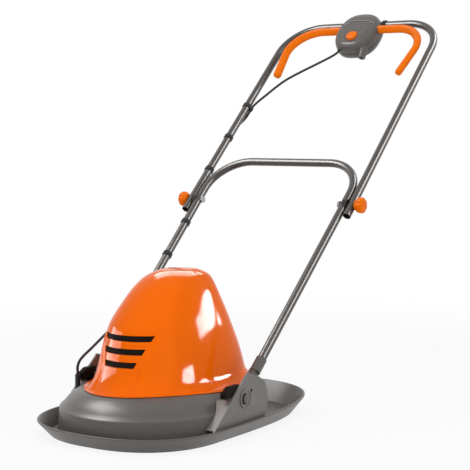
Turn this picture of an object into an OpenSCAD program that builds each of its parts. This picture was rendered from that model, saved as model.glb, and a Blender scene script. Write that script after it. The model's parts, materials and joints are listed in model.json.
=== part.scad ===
// Electric hover mower: a domed deck with a tall motor hood and a folding tube handle.
// The blade axis is the Z axis of the machine; the front faces -Y and the handle leans back to +Y.

/* [Deck] */
// Radius of the step edge round the front of the dome
dome_r = 181; // [170:0.5:190]
// Reach of the dome behind the blade axis
dome_rear = 300; // [285:1:330]
// Height of the step edge
dome_h = 56; // [50:0.5:62]
// Height of the flat seat that carries the hood
seat_h = 95; // [88:0.5:102]
// How far the dome wall spreads from the step edge to the floor
dome_draft = 4; // [2:0.5:6]
// Width of the floor channel round the front and the sides
channel_w = 3; // [2:0.5:6]
// Overhang of the rim lip outside its foot
rim_flare = 25; // [20:0.5:30]
// Reach of the rim lip behind the blade axis
deck_rear = 402; // [380:1:430]
// Height of the rim lip at the front and the sides
rim_h = 31.5; // [28:0.5:36]
// Extra height of the rim lip at the very rear
rim_rise = 16; // [0:0.5:18]
// Wall thickness of the deck
deck_wall = 3; // [2:0.1:4]
// Radius of the air inlet under the motor
inlet_r = 62; // [58:0.5:64]

/* [Hood] */
// Width of the hood at its base
hood_w = 268; // [256:1:276]
// Reach of the hood base in front of the blade axis
hood_front = 138; // [132:0.5:144]
// Reach of the hood base behind the blade axis
hood_rear = 265; // [255:1:274]
// Height of the hood above its seat
hood_h = 232; // [226:1:256]
// Wall thickness of the hood
hood_wall = 2.5; // [1.5:0.1:3]
// Width of the screw flange inside the base of the hood
hood_flange = 14; // [12:0.5:18]
// Number of air slots
slot_count = 3; // [1:1:4]
// Height of one air slot
slot_h = 12; // [9:0.5:14]
// Pitch of the air slots
slot_pitch = 26; // [23:0.5:30]
// Half length of the top air slot
slot_half = 60; // [52:1:68]
// How much shorter each lower slot is at either end
slot_taper = 10.5; // [8:0.5:14]
// Height of the top air slot above the hood seat
slot_top = 108.5; // [102:0.5:116]

/* [Handle] */
// Outside diameter of the handle tubes
tube_d = 19; // [17:0.5:20]
// Wall thickness of the handle tubes
tube_wall = 1.5; // [1:0.1:2.5]
// Lean of the handle from the vertical at rest
lean = 47; // [42:0.5:52]
// Distance of the handle pivot behind the blade axis
pivot_y = 66; // [58:1:74]
// Height of the handle pivot
pivot_z = 78; // [74:0.5:82]
// Half spacing of the lower legs at the pivot
foot_half = 190.5; // [188:0.5:194]
// Half spacing of the lower legs at the clamp knobs
clamp_half = 202.5; // [196:0.5:204]
// Distance from the pivot to the clamp bolts
clamp_s = 551; // [500:1:600]
// Distance from the clamp bolts to the crossbar of the lower handle
cross_s = 133; // [125:1:150]
// Distance from the clamp bolts to the top bar
grip_s = 645; // [600:1:690]
// Bend radius of the lower handle
lower_bend = 95; // [85:1:100]
// Bend radius of the upper handle
upper_bend = 100; // [95:1:110]
// Clear gap between the lower and the upper tubes at the bolts
tube_gap = 2; // [1.8:0.1:3]
// Length of the upper legs below the bolts
leg_tail = 35; // [30:1:45]
// Diameter of the clamp bolts
bolt_d = 8; // [6:0.5:8]
// Diameter of the pivot pins
pin_d = 10; // [8:0.5:12]
// Diameter of the clamp knobs
knob_d = 36; // [32:0.5:40]
// Thickness of the clamp knobs
knob_t = 22; // [18:0.5:26]

/* [Bracket] */
// Length of a handle bracket along its foot
bracket_len = 198; // [186:1:210]
// Height of the outer plate of a bracket
bracket_h = 105; // [100:1:112]
// Thickness of the outer plate
plate_t = 4; // [3:0.1:4.5]
// Thickness of the inner cheek
cheek_t = 3; // [2:0.1:3.2]
// Clear width between the plate and the cheek
clevis_w = 14; // [13:0.5:14.5]
// Diameter of the round boss on the outer plate
boss_d = 40; // [34:0.5:44]

/* [Switch box] */
// Width of the switch box
box_w = 116; // [106:1:124]
// Length of the switch box along the handle
box_len = 136; // [126:1:146]
// How far the switch box reaches past the top bar
box_over = 22; // [18:0.5:28]
// Depth of the front half of the switch box
box_front_d = 34; // [30:0.5:38]
// Depth of the rear half of the switch box
box_rear_d = 24; // [20:0.5:28]
// Wall thickness of the switch box
box_wall = 2.5; // [2:0.1:3]
// Diameter of the lever arms
lever_d = 21; // [17:0.5:22]
// Distance from the top bar down to the lever arms
lever_drop = 33; // [29:0.5:36]
// Diameter of the lock button
button_d = 30; // [26:0.5:32]
// Travel of the lock button
button_travel = 4; // [3:0.5:5]

/* [Motor and cutter] */
// Radius of the motor can
can_r = 45; // [43:0.5:47]
// Height of the motor can
can_h = 91; // [90:1:96]
// Radius of the rotor shaft
shaft_r = 5; // [4:0.25:6]
// Radius of the impeller
fan_r = 130; // [110:1:134]
// Number of impeller vanes
vane_count = 12; // [6:1:16]
// Length of the blade over its tips
blade_len = 330; // [300:1:334]
// Width of the blade
blade_w = 44; // [36:1:50]
// Thickness of the blade
blade_t = 3; // [2:0.1:4]
// Height of the underside of the blade
blade_z = 22; // [20:0.5:26]
// Thickness of the height spacer above the blade
spacer_t = 8; // [4:0.5:10]

/* [Lead] */
// Diameter of the lead between the switch box and the motor
lead_d = 6; // [4:0.5:6.5]

/* [Hidden] */

// Shared clearances and overrun
slip = 0.1;
run_fit = 0.05;
clear = 0.3;
over = 1;
// How much stouter a straight run is than the bend that ends inside it
seam = 0.05;
round_fn = 48;
ring_n = 96;
hood_n = 64;

// Deck outlines, from the named sizes
deck_half = dome_r + dome_draft + channel_w + rim_flare;
rim_front_n = 2.45;
rim_rear_n = 4;
dome_rear_n = 2.5;
rim_rise_from = dome_rear / 3;
// Share of the rise that the rim loses towards its rear corners
rim_arch_share = 0.55;
rim_lip = 4;
seat_margin = 5;
// Places across the shoulder: share of the way in, share of the way up
shoulder_shares = [[0.12, 0.2], [0.27, 0.41], [0.45, 0.62], [0.64, 0.8], [0.83, 0.93]];

// Hood sections: share of height, width, front, rear and centre
hood_shares = [[0, 1, 1, 1, 0.26], [0.063, 0.955, 0.89, 0.978, 0.264], [0.13, 0.926, 0.818, 0.963, 0.268],
  [0.28, 0.868, 0.735, 0.914, 0.283], [0.42, 0.828, 0.665, 0.85, 0.298], [0.515, 0.794, 0.605, 0.803, 0.312],
  [0.62, 0.738, 0.48, 0.762, 0.327], [0.71, 0.676, 0.325, 0.728, 0.342], [0.8, 0.61, 0.165, 0.698, 0.356],
  [0.88, 0.54, -0.01, 0.674, 0.372], [0.94, 0.465, -0.18, 0.655, 0.39], [0.975, 0.4, -0.31, 0.64, 0.4],
  [0.993, 0.33, -0.4, 0.61, 0.405], [1, 0.26, -0.46, 0.57, 0.405]];
hood_front_n = 2;
hood_rear_n = 3;
insert_gap = 0.5;
insert_t = 2;
insert_span = 54;
insert_steps = 12;
insert_margin = 8;

// Handle frame and legs
splay = atan((clamp_half - foot_half) / clamp_s);
upper_half = clamp_half + tube_d + tube_gap;
cross_at = clamp_s + cross_s;
grip_at = clamp_s + grip_s;
tail_at = clamp_s - leg_tail;
tube_r = tube_d / 2;

// Bracket, foot and stop
bracket_pivot_shares = [0.566, 0.495];
bracket_y = pivot_y - bracket_len * bracket_pivot_shares[0];
bracket_z = pivot_z - bracket_h * bracket_pivot_shares[1];
cheek_shares = [[0.7, 0.75], [0.83, 0.78]];
plate_shares = [[0, 0], [0.62, 1], [0.83, 0.85], [0.94, 0.72], [0.99, 0.52], [1, 0.3], [0.93, 0]];
cheek_x = foot_half - clevis_w / 2;
plate_x = foot_half + clevis_w / 2;
boss_t = 3;
boss_rim = 4;
foot_boss_d = 34;
foot_bar_w = 20;
foot_t = clevis_w - 2 * clear;
collar_at = 68;
collar_len = 34;
collar_wall = 2.2;
collar_floor = 8;
web_z = pivot_z - foot_boss_d / 2 - over;
web_h = 30;
web_rear_share = 0.88;
stop_rise = 48;
stop_front = 58;
// The head of a stop is this high and hangs out in front of its neck, which starts at the notch
stop_chin = 22;
stop_notch = 25;
// Wall along the sloping front edge of a bracket
wall_rise = 20;
wall_t = 5;
bridge_at = 40;
bridge_len = 13;
bridge_t = 6;
screw_d = 4;
screw_head_d = 8;
screw_head_h = 3;
bracket_screw_shares = [0.36, 0.74];
bracket_screw_len = 22;

// Gland of the lead on the left bracket
gland_d = 12;
gland_len = 38;
gland_y = pivot_y - stop_front - gland_d / 2 - clear;
gland_ribs = 5;

// Motor stack, from the deck up
motor_plate_t = 4;
plate_top = seat_h + motor_plate_t;
motor_plate_r = 80;
plate_screw_r = 71;
bearing_r = 13;
bearing_h = 10;
can_wall = 2;
can_top = plate_top + can_h;
stator_in_r = 30;
stator_h = 50;
stator_z = plate_top + 16;
coil_h = 8.5;
coil_w = 10;
air_gap = 1;
armature_over = 3;
commutator_r = 14;
commutator_h = 13;
brush_t = 8;
brush_len = 6;
holder_w = 12;
holder_len = 22;
motor_cap_r = 55;
motor_cap_t = 6;
motor_bolt_r = 50;
bearing_cap_t = 4;

// Rotor stack, from the blade down and up
bolt_head_r = 10;
bolt_head_h = 8;
blade_bolt_r = 4;
hub_r = 16;
hub_h = 26;
fan_t = 3;
vane_t = 3;
vane_in_r = 45;
bolt_bite = 10;
hub_z = blade_z + blade_t + spacer_t;
// Running gap between the vanes and the top of the deck
fan_gap = 10;
vane_h = seat_h - deck_wall - fan_gap - hub_z - hub_h - fan_t;
shaft_z = hub_z + bolt_bite;
blade_tip_share = 0.62;
blade_edge_share = 0.3;

// Clamp and clips
saddle_d = 26;
bolt_head_d = 16;
bolt_head_t = 5;
bolt_end = 14;
scallop_n = 7;
scallop_d = 9;
// Knob profile: share of the thickness where the cone, the rim and the crown end, and their shares of width
knob_cone_share = 0.35;
knob_rim_share = 0.8;
knob_foot_share = 0.7;
knob_crown_share = 0.8;
scallop_foot_share = 0.2;
clip_w = 10;
clip_t = 2;
lead_off = tube_r + lead_d / 2 + slip;
lower_clip_shares = [0.5, 0.66, 0.85];
upper_clip_shares = [0.15, 0.33];
exit_clip_share = 0.51;
lead_turn = -135;
exit_turn = 135;

// Switch box and levers
box_z = grip_at + box_over - box_len / 2;
box_n = 2.5;
box_front_shares = [[1, 0], [0.995, 0.3], [0.97, 0.52], [0.91, 0.74], [0.8, 0.9], [0.62, 1]];
box_rear_shares = [[1, 0], [0.98, 0.45], [0.88, 0.8], [0.7, 1]];

// Frame: the origin is under the middle of the whole machine, whose rear is the rounded back of the box
rear_reach = pivot_y + max([for (row = box_rear_shares)
  (box_z + box_len / 2 * row[0]) * sin(lean) + box_rear_d * row[1] * cos(lean)]);
frame_y = (rear_reach - deck_half) / 2;

lever_z = grip_at - lever_drop;
lever_y = 12;
lever_hub_x = 26;
lever_hub_d = 22;
lever_pin_d = 6;
lever_turn_x = 110;
lever_turn_r = 78;
lever_end_tilt = 8;
lever_end_len = 84;
lever_tip_share = 0.7;
lever_room = 7;
button_x = 2;
button_drop = 34;
button_z = box_z - button_drop;
button_len = 16;
switch_w = 24;
switch_len = 28;
inlet_x = 34;
inlet_d = 24;
inlet_len = 32;
inlet_bore = 9;
inlet_taper_share = 0.8;
inlet_share = 0.925;
// The inlet points down and to the rear, clear of the crossbar and of the deck
inlet_tilt = 20;
pillar_d = 11;
// Places of the box screws across and along the box, and the depth of their heads
box_screw_shares = [[-0.42, -0.32], [0.42, -0.32]];
head_share = 0.5;

// Routes of the lead. The first lies on the deck, the others in the frame of the handle.
lower_route = [[-205.1, 8.9, 260], [-210, 8.9, 488]];
bend_route = [[-211, 10, 508], [-213, 15, 524], [-216, 20, 540], [-219, 22, 556], [-224, 21, 575],
  [-229, 16, 595], [-232, 10.5, 611]];
upper_route = [[-232.4, 8.9, 630], [-232.4, 8.9, 800], [-229.5, 11.5, 822], [-223.5, 13, 842],
  [-217.5, 11.5, 860], [-214.6, 8.9, 876], [-214.6, 8.9, 892], [-211, 8.8, 905], [-203, 8, 920],
  [-186, 4, 940], [-171, 0, 957], [-148, -4, 982], [-115, -7.5, 1007], [-80, -9.5, 1033], [-47, -10.5, 1060],
  [-34, -11, 1074], [-31, -11, 1084], [-31, -11, 1098]];
free_route = [[-190.5, 1.7, 104], [-190.5, 1.7, 113], [-191, 9, 125], [-192, 26, 135], [-194, 52, 146],
  [-197, 90, 163], [-201, 130, 180], [-205, 165, 193], [-207.5, 200, 207], [-206.5, 232, 224]];
// A point of the handle frame in the frame of the machine
function from_handle(p) = [p[0], pivot_y + p[1] * cos(lean) + p[2] * sin(lean),
  pivot_z - p[1] * sin(lean) + p[2] * cos(lean)];
// The bending stretches end a clearance short of the clipped ones, after a short straight run
run_in = [0, 0, lead_d];
gap_in = [0, 0, clear];
deck_route = concat([[-foot_half, gland_y, web_z + gland_len / 2]], free_route,
  [from_handle(lower_route[0] - run_in), from_handle(lower_route[0] - gap_in)]);
fold_route = concat([lower_route[1] + gap_in, lower_route[1] + run_in], bend_route,
  [upper_route[0] - run_in, upper_route[0] - gap_in]);
lead_sides = 8;

// Outline of one closed curve: half width, front reach, rear reach, centre and the two roundness powers
function power(v, n) = sign(v) * pow(abs(v), 2 / n);
function outline_point(w, f, r, c, nf, nr, t) =
  sin(t) < 0 ? [w * power(cos(t), nf), c + (f + c) * power(sin(t), nf)]
             : [w * power(cos(t), nr), c + (r - c) * power(sin(t), nr)];
function outline(w, f, r, c, nf, nr, count) =
  [for (i = [0:count - 1]) outline_point(w, f, r, c, nf, nr, 360 * i / count)];
function level(points, z) = [for (p = points) [p[0], p[1], z]];
function blend(a, b, share) = [for (i = [0:len(a) - 1]) a[i] * (1 - share) + b[i] * share];

// Faces of a surface whose rings close round both ways
function ring_faces(rings, count) = [for (j = [0:rings - 1], i = [0:count - 1])
  let (a = j * count, b = ((j + 1) % rings) * count, k = (i + 1) % count)
  each [[a + i, a + k, b + i], [a + k, b + k, b + i]]];
// Faces of a stack of rings with flat ends
function stack_faces(rings, count) = concat(
  [for (j = [0:rings - 2], i = [0:count - 1])
    let (a = j * count, b = a + count, k = (i + 1) % count)
    each [[a + i, b + i, a + k], [a + k, b + i, b + k]]],
  [[for (i = [0:count - 1]) i]],
  [[for (i = [count - 1:-1:0]) (rings - 1) * count + i]]);

// Deck outlines grown or shrunk by a margin
function rim_outline(grow) = outline(deck_half + grow, deck_half + grow, deck_rear + grow, 0,
  rim_front_n, rim_rear_n, ring_n);
function dome_outline(grow) = outline(dome_r + grow, dome_r + grow, dome_rear + grow, 0, 2, dome_rear_n,
  ring_n);
function hood_outline(row, grow, count) = outline(hood_w / 2 * row[1] + grow, hood_front * row[2] + grow,
  hood_rear * row[3] + grow, hood_rear * row[4], hood_front_n, hood_rear_n, count);
function seat_outline(grow) = hood_outline(hood_shares[0], seat_margin + grow, ring_n);
function rim_z(p) = rim_h + rim_rise * max(0, p[1] - rim_rise_from) / (deck_rear - rim_rise_from)
  * (1 - rim_arch_share * pow(p[0] / deck_half, 2));
function rim_ring(grow) = [for (p = rim_outline(grow)) [p[0], p[1], rim_z(p)]];
function shoulder_ring(share, grow, drop) = level(blend(dome_outline(grow), seat_outline(grow), share[0]),
  dome_h + (seat_h - dome_h) * share[1] - drop);
function hood_z(share) = seat_h + hood_h * share;

// A point on a smooth curve through four points
function curve(a, b, c, d, t) = 0.5 * (2 * b + (c - a) * t + (2 * a - 5 * b + 4 * c - d) * t * t
  + (3 * b - a - 3 * c + d) * t * t * t);
function steps_between(a, b) = max(1, min(6, ceil(norm(b - a) / (3 * lead_d))));
function smooth(p) = concat([for (i = [0:len(p) - 2])
  let (n = (norm(p[i + 1] - p[i]) > 15 * lead_d) ? 1 : steps_between(p[i], p[i + 1]))
  for (k = [0:n - 1])
    curve(p[max(0, i - 1)], p[i], p[i + 1], p[min(len(p) - 1, i + 2)], k / n)], [p[len(p) - 1]]);
function unit(v) = v / norm(v);
function tangent(p, i) = unit(p[min(len(p) - 1, i + 1)] - p[max(0, i - 1)]);

// Puts a piece into the frame whose origin is under the middle of the machine
module placed() {
  translate([0, -frame_y, 0]) children();
}

// The frame of the handle: Z runs up along the legs from the pivot, -Y faces the front
module on_handle() {
  placed() translate([0, pivot_y, pivot_z]) rotate([-lean, 0, 0]) children();
}

// The frame of one lower leg, side 1 right and -1 left
module on_lower_leg(side) {
  on_handle() translate([side * foot_half, 0, 0]) rotate([0, side * splay, 0]) children();
}

module both_sides() {
  for (side = [-1, 1]) mirror([side < 0 ? 1 : 0, 0, 0]) children();
}

module tube(d, wall, h) {
  difference() {
    cylinder(d = d, h = h, $fn = round_fn);
    translate([0, 0, -over]) cylinder(d = d - 2 * wall, h = h + 2 * over, $fn = round_fn);
  }
}

// A bend of the tube in the XZ plane, from the X axis through a sweep
module tube_bend(r, sweep, d, wall) {
  rotate([90, 0, 0]) rotate_extrude(angle = sweep, $fn = ring_n) translate([r, 0])
    difference() {
      circle(d = d, $fn = round_fn);
      circle(d = d - 2 * wall, $fn = round_fn);
    }
}

// A round bar from one point to another
module bar(a, b, d) {
  v = b - a;
  translate(a) rotate([0, acos(v[2] / norm(v)), atan2(v[1], v[0])])
    cylinder(d = d, h = norm(v), $fn = round_fn);
}

// A lead swept along a route
module lead(route, normal) {
  p = smooth(route);
  n = len(p);
  points = [for (i = [0:n - 1])
    let (t = tangent(p, i), u = unit(cross(t, normal)), v = cross(t, u))
    for (k = [0:lead_sides - 1])
      p[i] + lead_d / 2 * (u * cos(360 * k / lead_sides) + v * sin(360 * k / lead_sides))];
  polyhedron(points, stack_faces(n, lead_sides));
}

// A screw with a pan head, its head underside at zero and its shank along -Z
module screw(d, length, head_d, head_h) {
  translate([0, 0, -length]) cylinder(d = d, h = length, $fn = round_fn);
  cylinder(d = head_d, h = head_h, $fn = round_fn);
}

// Deck and hood

module deck_shell() {
  lift = deck_wall;
  rings = concat(
    [level(outline(inlet_r, inlet_r, inlet_r, 0, 2, 2, ring_n), seat_h), level(seat_outline(0), seat_h)],
    [for (i = [len(shoulder_shares) - 1:-1:0]) shoulder_ring(shoulder_shares[i], 0, 0)],
    [level(dome_outline(0), dome_h), level(dome_outline(dome_draft), lift),
      level(rim_outline(-rim_flare - rim_lip / 2 + channel_w / 2), lift), rim_ring(-rim_lip), rim_ring(0),
      level(rim_outline(-rim_flare), 0), level(dome_outline(dome_draft - deck_wall), 0),
      level(dome_outline(-deck_wall), dome_h - deck_wall / 2)],
    [for (s = shoulder_shares) shoulder_ring(s, -deck_wall, deck_wall)],
    [level(seat_outline(-deck_wall), seat_h - deck_wall),
      level(outline(inlet_r, inlet_r, inlet_r, 0, 2, 2, ring_n), seat_h - deck_wall)]);
  color("dimgray") placed() polyhedron([for (r = rings) each r], ring_faces(len(rings), ring_n));
}

// The outside of the dome as a solid, grown by a margin
module dome_envelope(grow) {
  rings = concat([level(dome_outline(dome_draft + grow), 0), level(dome_outline(grow), dome_h)],
    [for (s = shoulder_shares) shoulder_ring(s, grow, -grow)], [level(seat_outline(grow), seat_h + grow)]);
  polyhedron([for (r = rings) each r], stack_faces(len(rings), ring_n));
}

function hood_ring(row, grow, drop) = level(hood_outline(row, grow, hood_n), hood_z(row[0]) - drop);

module slot_cut(i, grow) {
  half = slot_half - i * slot_taper + grow;
  lean_in = slot_taper * (slot_h + 2 * grow) / slot_pitch / 2;
  high = slot_h / 2 + grow;
  translate([0, 0, seat_h + slot_top - i * slot_pitch]) rotate([90, 0, 0])
    linear_extrude(height = hood_front + hood_rear)
    polygon([[-half + lean_in, -high], [half - lean_in, -high], [half + lean_in, high],
      [-half - lean_in, high]]);
}

module motor_hood() {
  last = len(hood_shares) - 1;
  outer = [for (row = hood_shares) hood_ring(row, 0, 0)];
  inner = [for (i = [last:-1:1]) hood_ring(hood_shares[i], -hood_wall, hood_wall * hood_shares[i][0])];
  lip = [level(hood_outline(hood_shares[0], -hood_wall, hood_n), seat_h + hood_wall),
    level(hood_outline(hood_shares[0], -hood_flange, hood_n), seat_h + hood_wall),
    level(hood_outline(hood_shares[0], -hood_flange, hood_n), seat_h)];
  rings = concat(outer, inner, lip);
  count = len(rings);
  walls = [for (j = [0:count - 1], i = [0:hood_n - 1]) if (j != last)
    let (a = j * hood_n, b = ((j + 1) % count) * hood_n, k = (i + 1) % hood_n)
    each [[a + i, b + i, a + k], [a + k, b + i, b + k]]];
  top_outer = [[for (i = [hood_n - 1:-1:0]) last * hood_n + i]];
  top_inner = [[for (i = [0:hood_n - 1]) (last + 1) * hood_n + i]];
  color("darkorange") placed() difference() {
    polyhedron([for (r = rings) each r], concat(walls, top_outer, top_inner));
    for (i = [0:slot_count - 1]) slot_cut(i, 0);
  }
}

// Row of the hood table at a share of the height, found between its neighbours
function hood_row(share) = [share, for (k = [1:4]) lookup(share, [for (row = hood_shares) [row[0], row[k]]])];

module louver_insert() {
  low = slot_top - (slot_count - 1) * slot_pitch - slot_h - insert_margin;
  high = slot_top + slot_h;
  rows = [for (j = [0:insert_steps]) hood_row((low + (high - low) * j / insert_steps) / hood_h)];
  angles = [for (i = [0:insert_steps]) 270 - insert_span + 2 * insert_span * i / insert_steps];
  n = insert_steps + 1;
  sheet = function (grow) [for (row = rows, t = angles)
    let (p = outline_point(hood_w / 2 * row[1] + grow, hood_front * row[2] + grow,
      hood_rear * row[3] + grow, hood_rear * row[4], hood_front_n, hood_rear_n, t))
    [p[0], p[1], hood_z(row[0])]];
  points = concat(sheet(-hood_wall - insert_gap), sheet(-hood_wall - insert_gap - insert_t));
  m = n * n;
  grid = [for (j = [0:n - 2], i = [0:n - 2]) let (a = j * n + i, b = a + n)
    each [[a, b, a + 1], [a + 1, b, b + 1], [m + a, m + a + 1, m + b], [m + a + 1, m + b + 1, m + b]]];
  ends = [for (i = [0:n - 2]) let (b = (n - 1) * n + i, l = i * n, r = l + n - 1)
    each [[i, i + 1, m + i], [i + 1, m + i + 1, m + i], [b, m + b, b + 1], [b + 1, m + b, m + b + 1],
      [l, m + l, l + n], [l + n, m + l, m + l + n], [r, r + n, m + r], [r + n, m + r + n, m + r]]];
  color("black") placed() difference() {
    polyhedron(points, concat(grid, ends));
    for (i = [0:slot_count - 1]) translate([0, 0, -slot_pitch / 2]) slot_cut(i, -slot_h / 4);
  }
}

module hood_screws() {
  inset = -(hood_wall + hood_flange) / 2;
  spots = outline(hood_w / 2 + inset, hood_front + inset, hood_rear + inset, hood_rear * hood_shares[0][4],
    hood_front_n, hood_rear_n, 6);
  color("silver") placed() for (p = spots) translate([p[0], p[1], seat_h - deck_wall]) mirror([0, 0, 1])
    screw(screw_d, deck_wall + hood_wall, screw_head_d, screw_head_h);
}

// Brackets, stops and pivots

function bracket_point(s) = [bracket_y + bracket_len * s[0], bracket_z + bracket_h * s[1]];
// Place along the sloping front edge of the plate at a height
function front_edge(z) = bracket_y + bracket_len * plate_shares[1][0] * (z - bracket_z) / bracket_h;

// A plate in the YZ plane from one X to another
module slab(points, from, to) {
  translate([from, 0, 0]) rotate([90, 0, 90]) linear_extrude(height = to - from) polygon(points);
}

module bracket(gland) {
  plate = [for (s = plate_shares) bracket_point(s)];
  web_end = bracket_y + bracket_len * web_rear_share;
  wall_top = web_z + wall_rise;
  web = [[front_edge(web_z - web_h), web_z - web_h], [front_edge(wall_top), wall_top],
    [front_edge(wall_top) + wall_t, wall_top], [front_edge(web_z) + wall_t, web_z], [web_end, web_z],
    [web_end, web_z - web_h]];
  cheek_top = pivot_z + foot_boss_d / 2;
  cheek_front = pivot_y - foot_boss_d / 2;
  cheek = concat([[cheek_front, web_z - over], [cheek_front, cheek_top]],
    [for (s = cheek_shares) bracket_point(s)], [[web_end, web_z - over]]);
  difference() {
    union() {
      slab(plate, plate_x, plate_x + plate_t);
      slab(cheek, cheek_x - cheek_t, cheek_x);
      slab(web, cheek_x - foot_boss_d / 2, plate_x + plate_t / 2);
      translate([plate_x + plate_t - over, pivot_y, pivot_z]) rotate([0, 90, 0])
        cylinder(d = boss_d, h = boss_t + over, $fn = round_fn);
      translate([0, pivot_y, pivot_z]) rotate([-lean, 0, 0])
        translate([cheek_x - cheek_t / 2, foot_bar_w / 2 + clear, bridge_at])
        cube([clevis_w + cheek_t, bridge_t, bridge_len]);
    }
    dome_envelope(clear);
    translate([plate_x + plate_t + boss_t / 2, pivot_y, pivot_z]) rotate([0, 90, 0])
      cylinder(d = boss_d - 2 * boss_rim, h = boss_t, $fn = round_fn);
    translate([0, pivot_y, pivot_z]) rotate([0, 90, 0])
      cylinder(d = pin_d + 2 * slip, h = deck_half, $fn = round_fn);
    if (gland) translate([foot_half, gland_y, web_z])
      cylinder(d = gland_d + 2 * clear, h = gland_len, $fn = round_fn);
  }
}

module bracket_right() {
  color("dimgray") placed() bracket(false);
}

module bracket_left() {
  color("dimgray") placed() mirror([1, 0, 0]) bracket(true);
}

// Half width of the inside of the dome wall behind the blade axis, at a place and a height
function inner_wall_x(y, z) = let (grow = dome_draft * (1 - z / (dome_h - deck_wall / 2)) - deck_wall)
  (dome_r + grow) * pow(1 - pow(y / (dome_rear + grow), dome_rear_n), 1 / dome_rear_n);

// Screws from inside the dome wall into the web of each bracket
module bracket_screws() {
  z = web_z - web_h / 2;
  color("silver") placed() both_sides() for (s = bracket_screw_shares)
    let (y = bracket_y + bracket_len * s) translate([inner_wall_x(y, z) - clear, y, z])
    rotate([0, -90, 0]) screw(screw_d, bracket_screw_len, screw_head_d, screw_head_h);
}

module stop_block(front) {
  low = web_z;
  rear = pivot_y - foot_boss_d / 2 - clear;
  high = low + stop_rise;
  nose = high - foot_bar_w / 2;
  chin = high - stop_chin;
  notch = pivot_y - stop_notch;
  bar_y = pivot_y - foot_bar_w / 2 - clear;
  bar_z = pivot_z + foot_boss_d / 2;
  slab([[notch, low], [rear, low], [rear, bar_z], [bar_y, bar_z + clear], [bar_y, high],
    [front + foot_bar_w, high], [front, nose], [front, chin], [notch, chin]],
    cheek_x + clear, plate_x - clear);
}

module stop_right() {
  color("black") placed() stop_block(gland_y);
}

module stop_left() {
  color("black") placed() mirror([1, 0, 0]) stop_block(pivot_y - stop_front);
}

module pivot_pin() {
  translate([cheek_x - cheek_t, pivot_y, pivot_z]) rotate([0, 90, 0])
    cylinder(d = pin_d, h = cheek_t + clevis_w + plate_t + boss_t / 2, $fn = round_fn);
  translate([plate_x + plate_t + boss_t / 2, pivot_y, pivot_z]) rotate([0, 90, 0])
    cylinder(d = pin_d + boss_rim, h = boss_t / 2, $fn = round_fn);
}

module pivot_pin_right() {
  color("silver") placed() pivot_pin();
}

module pivot_pin_left() {
  color("silver") placed() mirror([1, 0, 0]) pivot_pin();
}

module lead_gland() {
  color("black") placed() translate([-foot_half, gland_y, web_z]) difference() {
    union() {
      cylinder(d1 = gland_d, d2 = gland_d - deck_wall, h = gland_len, $fn = round_fn);
      for (i = [1:gland_ribs]) translate([0, 0, gland_len * i / (gland_ribs + 1)])
        cylinder(d = gland_d, h = gland_len / gland_ribs / 2, $fn = round_fn);
    }
    translate([0, 0, gland_len / 2]) cylinder(d = lead_d + 2 * slip, h = gland_len, $fn = round_fn);
  }
}

// Motor

module motor_plate() {
  color("gray") placed() translate([0, 0, seat_h]) difference() {
    cylinder(r = motor_plate_r, h = motor_plate_t, $fn = ring_n);
    translate([0, 0, -over]) cylinder(r = bearing_r + slip, h = motor_plate_t + 2 * over, $fn = round_fn);
    for (a = [45:90:315]) rotate([0, 0, a]) translate([plate_screw_r, 0, -over])
      cylinder(d = screw_d + 2 * slip, h = motor_plate_t + 2 * over, $fn = round_fn);
    for (a = [0:90:270]) rotate([0, 0, a]) translate([motor_bolt_r, 0, -over])
      cylinder(d = screw_d + 2 * slip, h = motor_plate_t + 2 * over, $fn = round_fn);
  }
}

module plate_screws() {
  color("silver") placed() for (a = [45:90:315]) rotate([0, 0, a]) translate([plate_screw_r, 0, plate_top])
    screw(screw_d, motor_plate_t + deck_wall, screw_head_d, screw_head_h);
}

module motor_can() {
  color("lightgray") placed() translate([0, 0, plate_top]) difference() {
    cylinder(r = can_r, h = can_h, $fn = ring_n);
    translate([0, 0, can_wall]) cylinder(r = can_r - can_wall, h = can_h, $fn = ring_n);
    translate([0, 0, -over]) cylinder(r = bearing_r + slip, h = can_wall + 2 * over, $fn = round_fn);
  }
}

module motor_cap() {
  color("black") placed() translate([0, 0, can_top]) difference() {
    union() {
      cylinder(r = motor_cap_r, h = motor_cap_t, $fn = ring_n);
      cylinder(r = bearing_r + bearing_cap_t, h = bearing_h + bearing_cap_t, $fn = round_fn);
    }
    translate([0, 0, -over]) cylinder(r = bearing_r + slip, h = bearing_h + over, $fn = round_fn);
    for (a = [0:90:270]) rotate([0, 0, a]) translate([motor_bolt_r, 0, -over])
      cylinder(d = screw_d + 2 * slip, h = motor_cap_t + 2 * over, $fn = round_fn);
  }
}

module motor_bolts() {
  color("silver") placed() for (a = [0:90:270]) rotate([0, 0, a])
    translate([motor_bolt_r, 0, can_top + motor_cap_t])
    screw(screw_d, motor_cap_t + can_h + motor_plate_t, screw_head_d, screw_head_h);
}

module stator() {
  color("gray") placed() translate([0, 0, stator_z])
    tube(2 * (can_r - can_wall - slip), can_r - can_wall - slip - stator_in_r, stator_h);
}

module field_coils() {
  color("peru") placed() for (z = [stator_z - coil_h - slip, stator_z + stator_h + slip])
    translate([0, 0, z]) tube(2 * (stator_in_r + coil_w), coil_w, coil_h);
}

module bearing() {
  tube(2 * bearing_r, bearing_r - shaft_r - run_fit, bearing_h);
}

module bearing_lower() {
  color("silver") placed() translate([0, 0, seat_h]) bearing();
}

module bearing_upper() {
  color("silver") placed() translate([0, 0, can_top]) bearing();
}

module brush_holders() {
  low = can_top - commutator_h;
  color("saddlebrown") placed() both_sides()
    translate([commutator_r + clear + brush_len / 2, -holder_w / 2, low]) difference() {
      cube([holder_len, holder_w, commutator_h]);
      translate([-over, (holder_w - brush_t) / 2 - slip, (commutator_h - brush_t) / 2 - slip])
        cube([brush_len / 2 + 2 * over, brush_t + 2 * slip, brush_t + 2 * slip]);
    }
}

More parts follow.
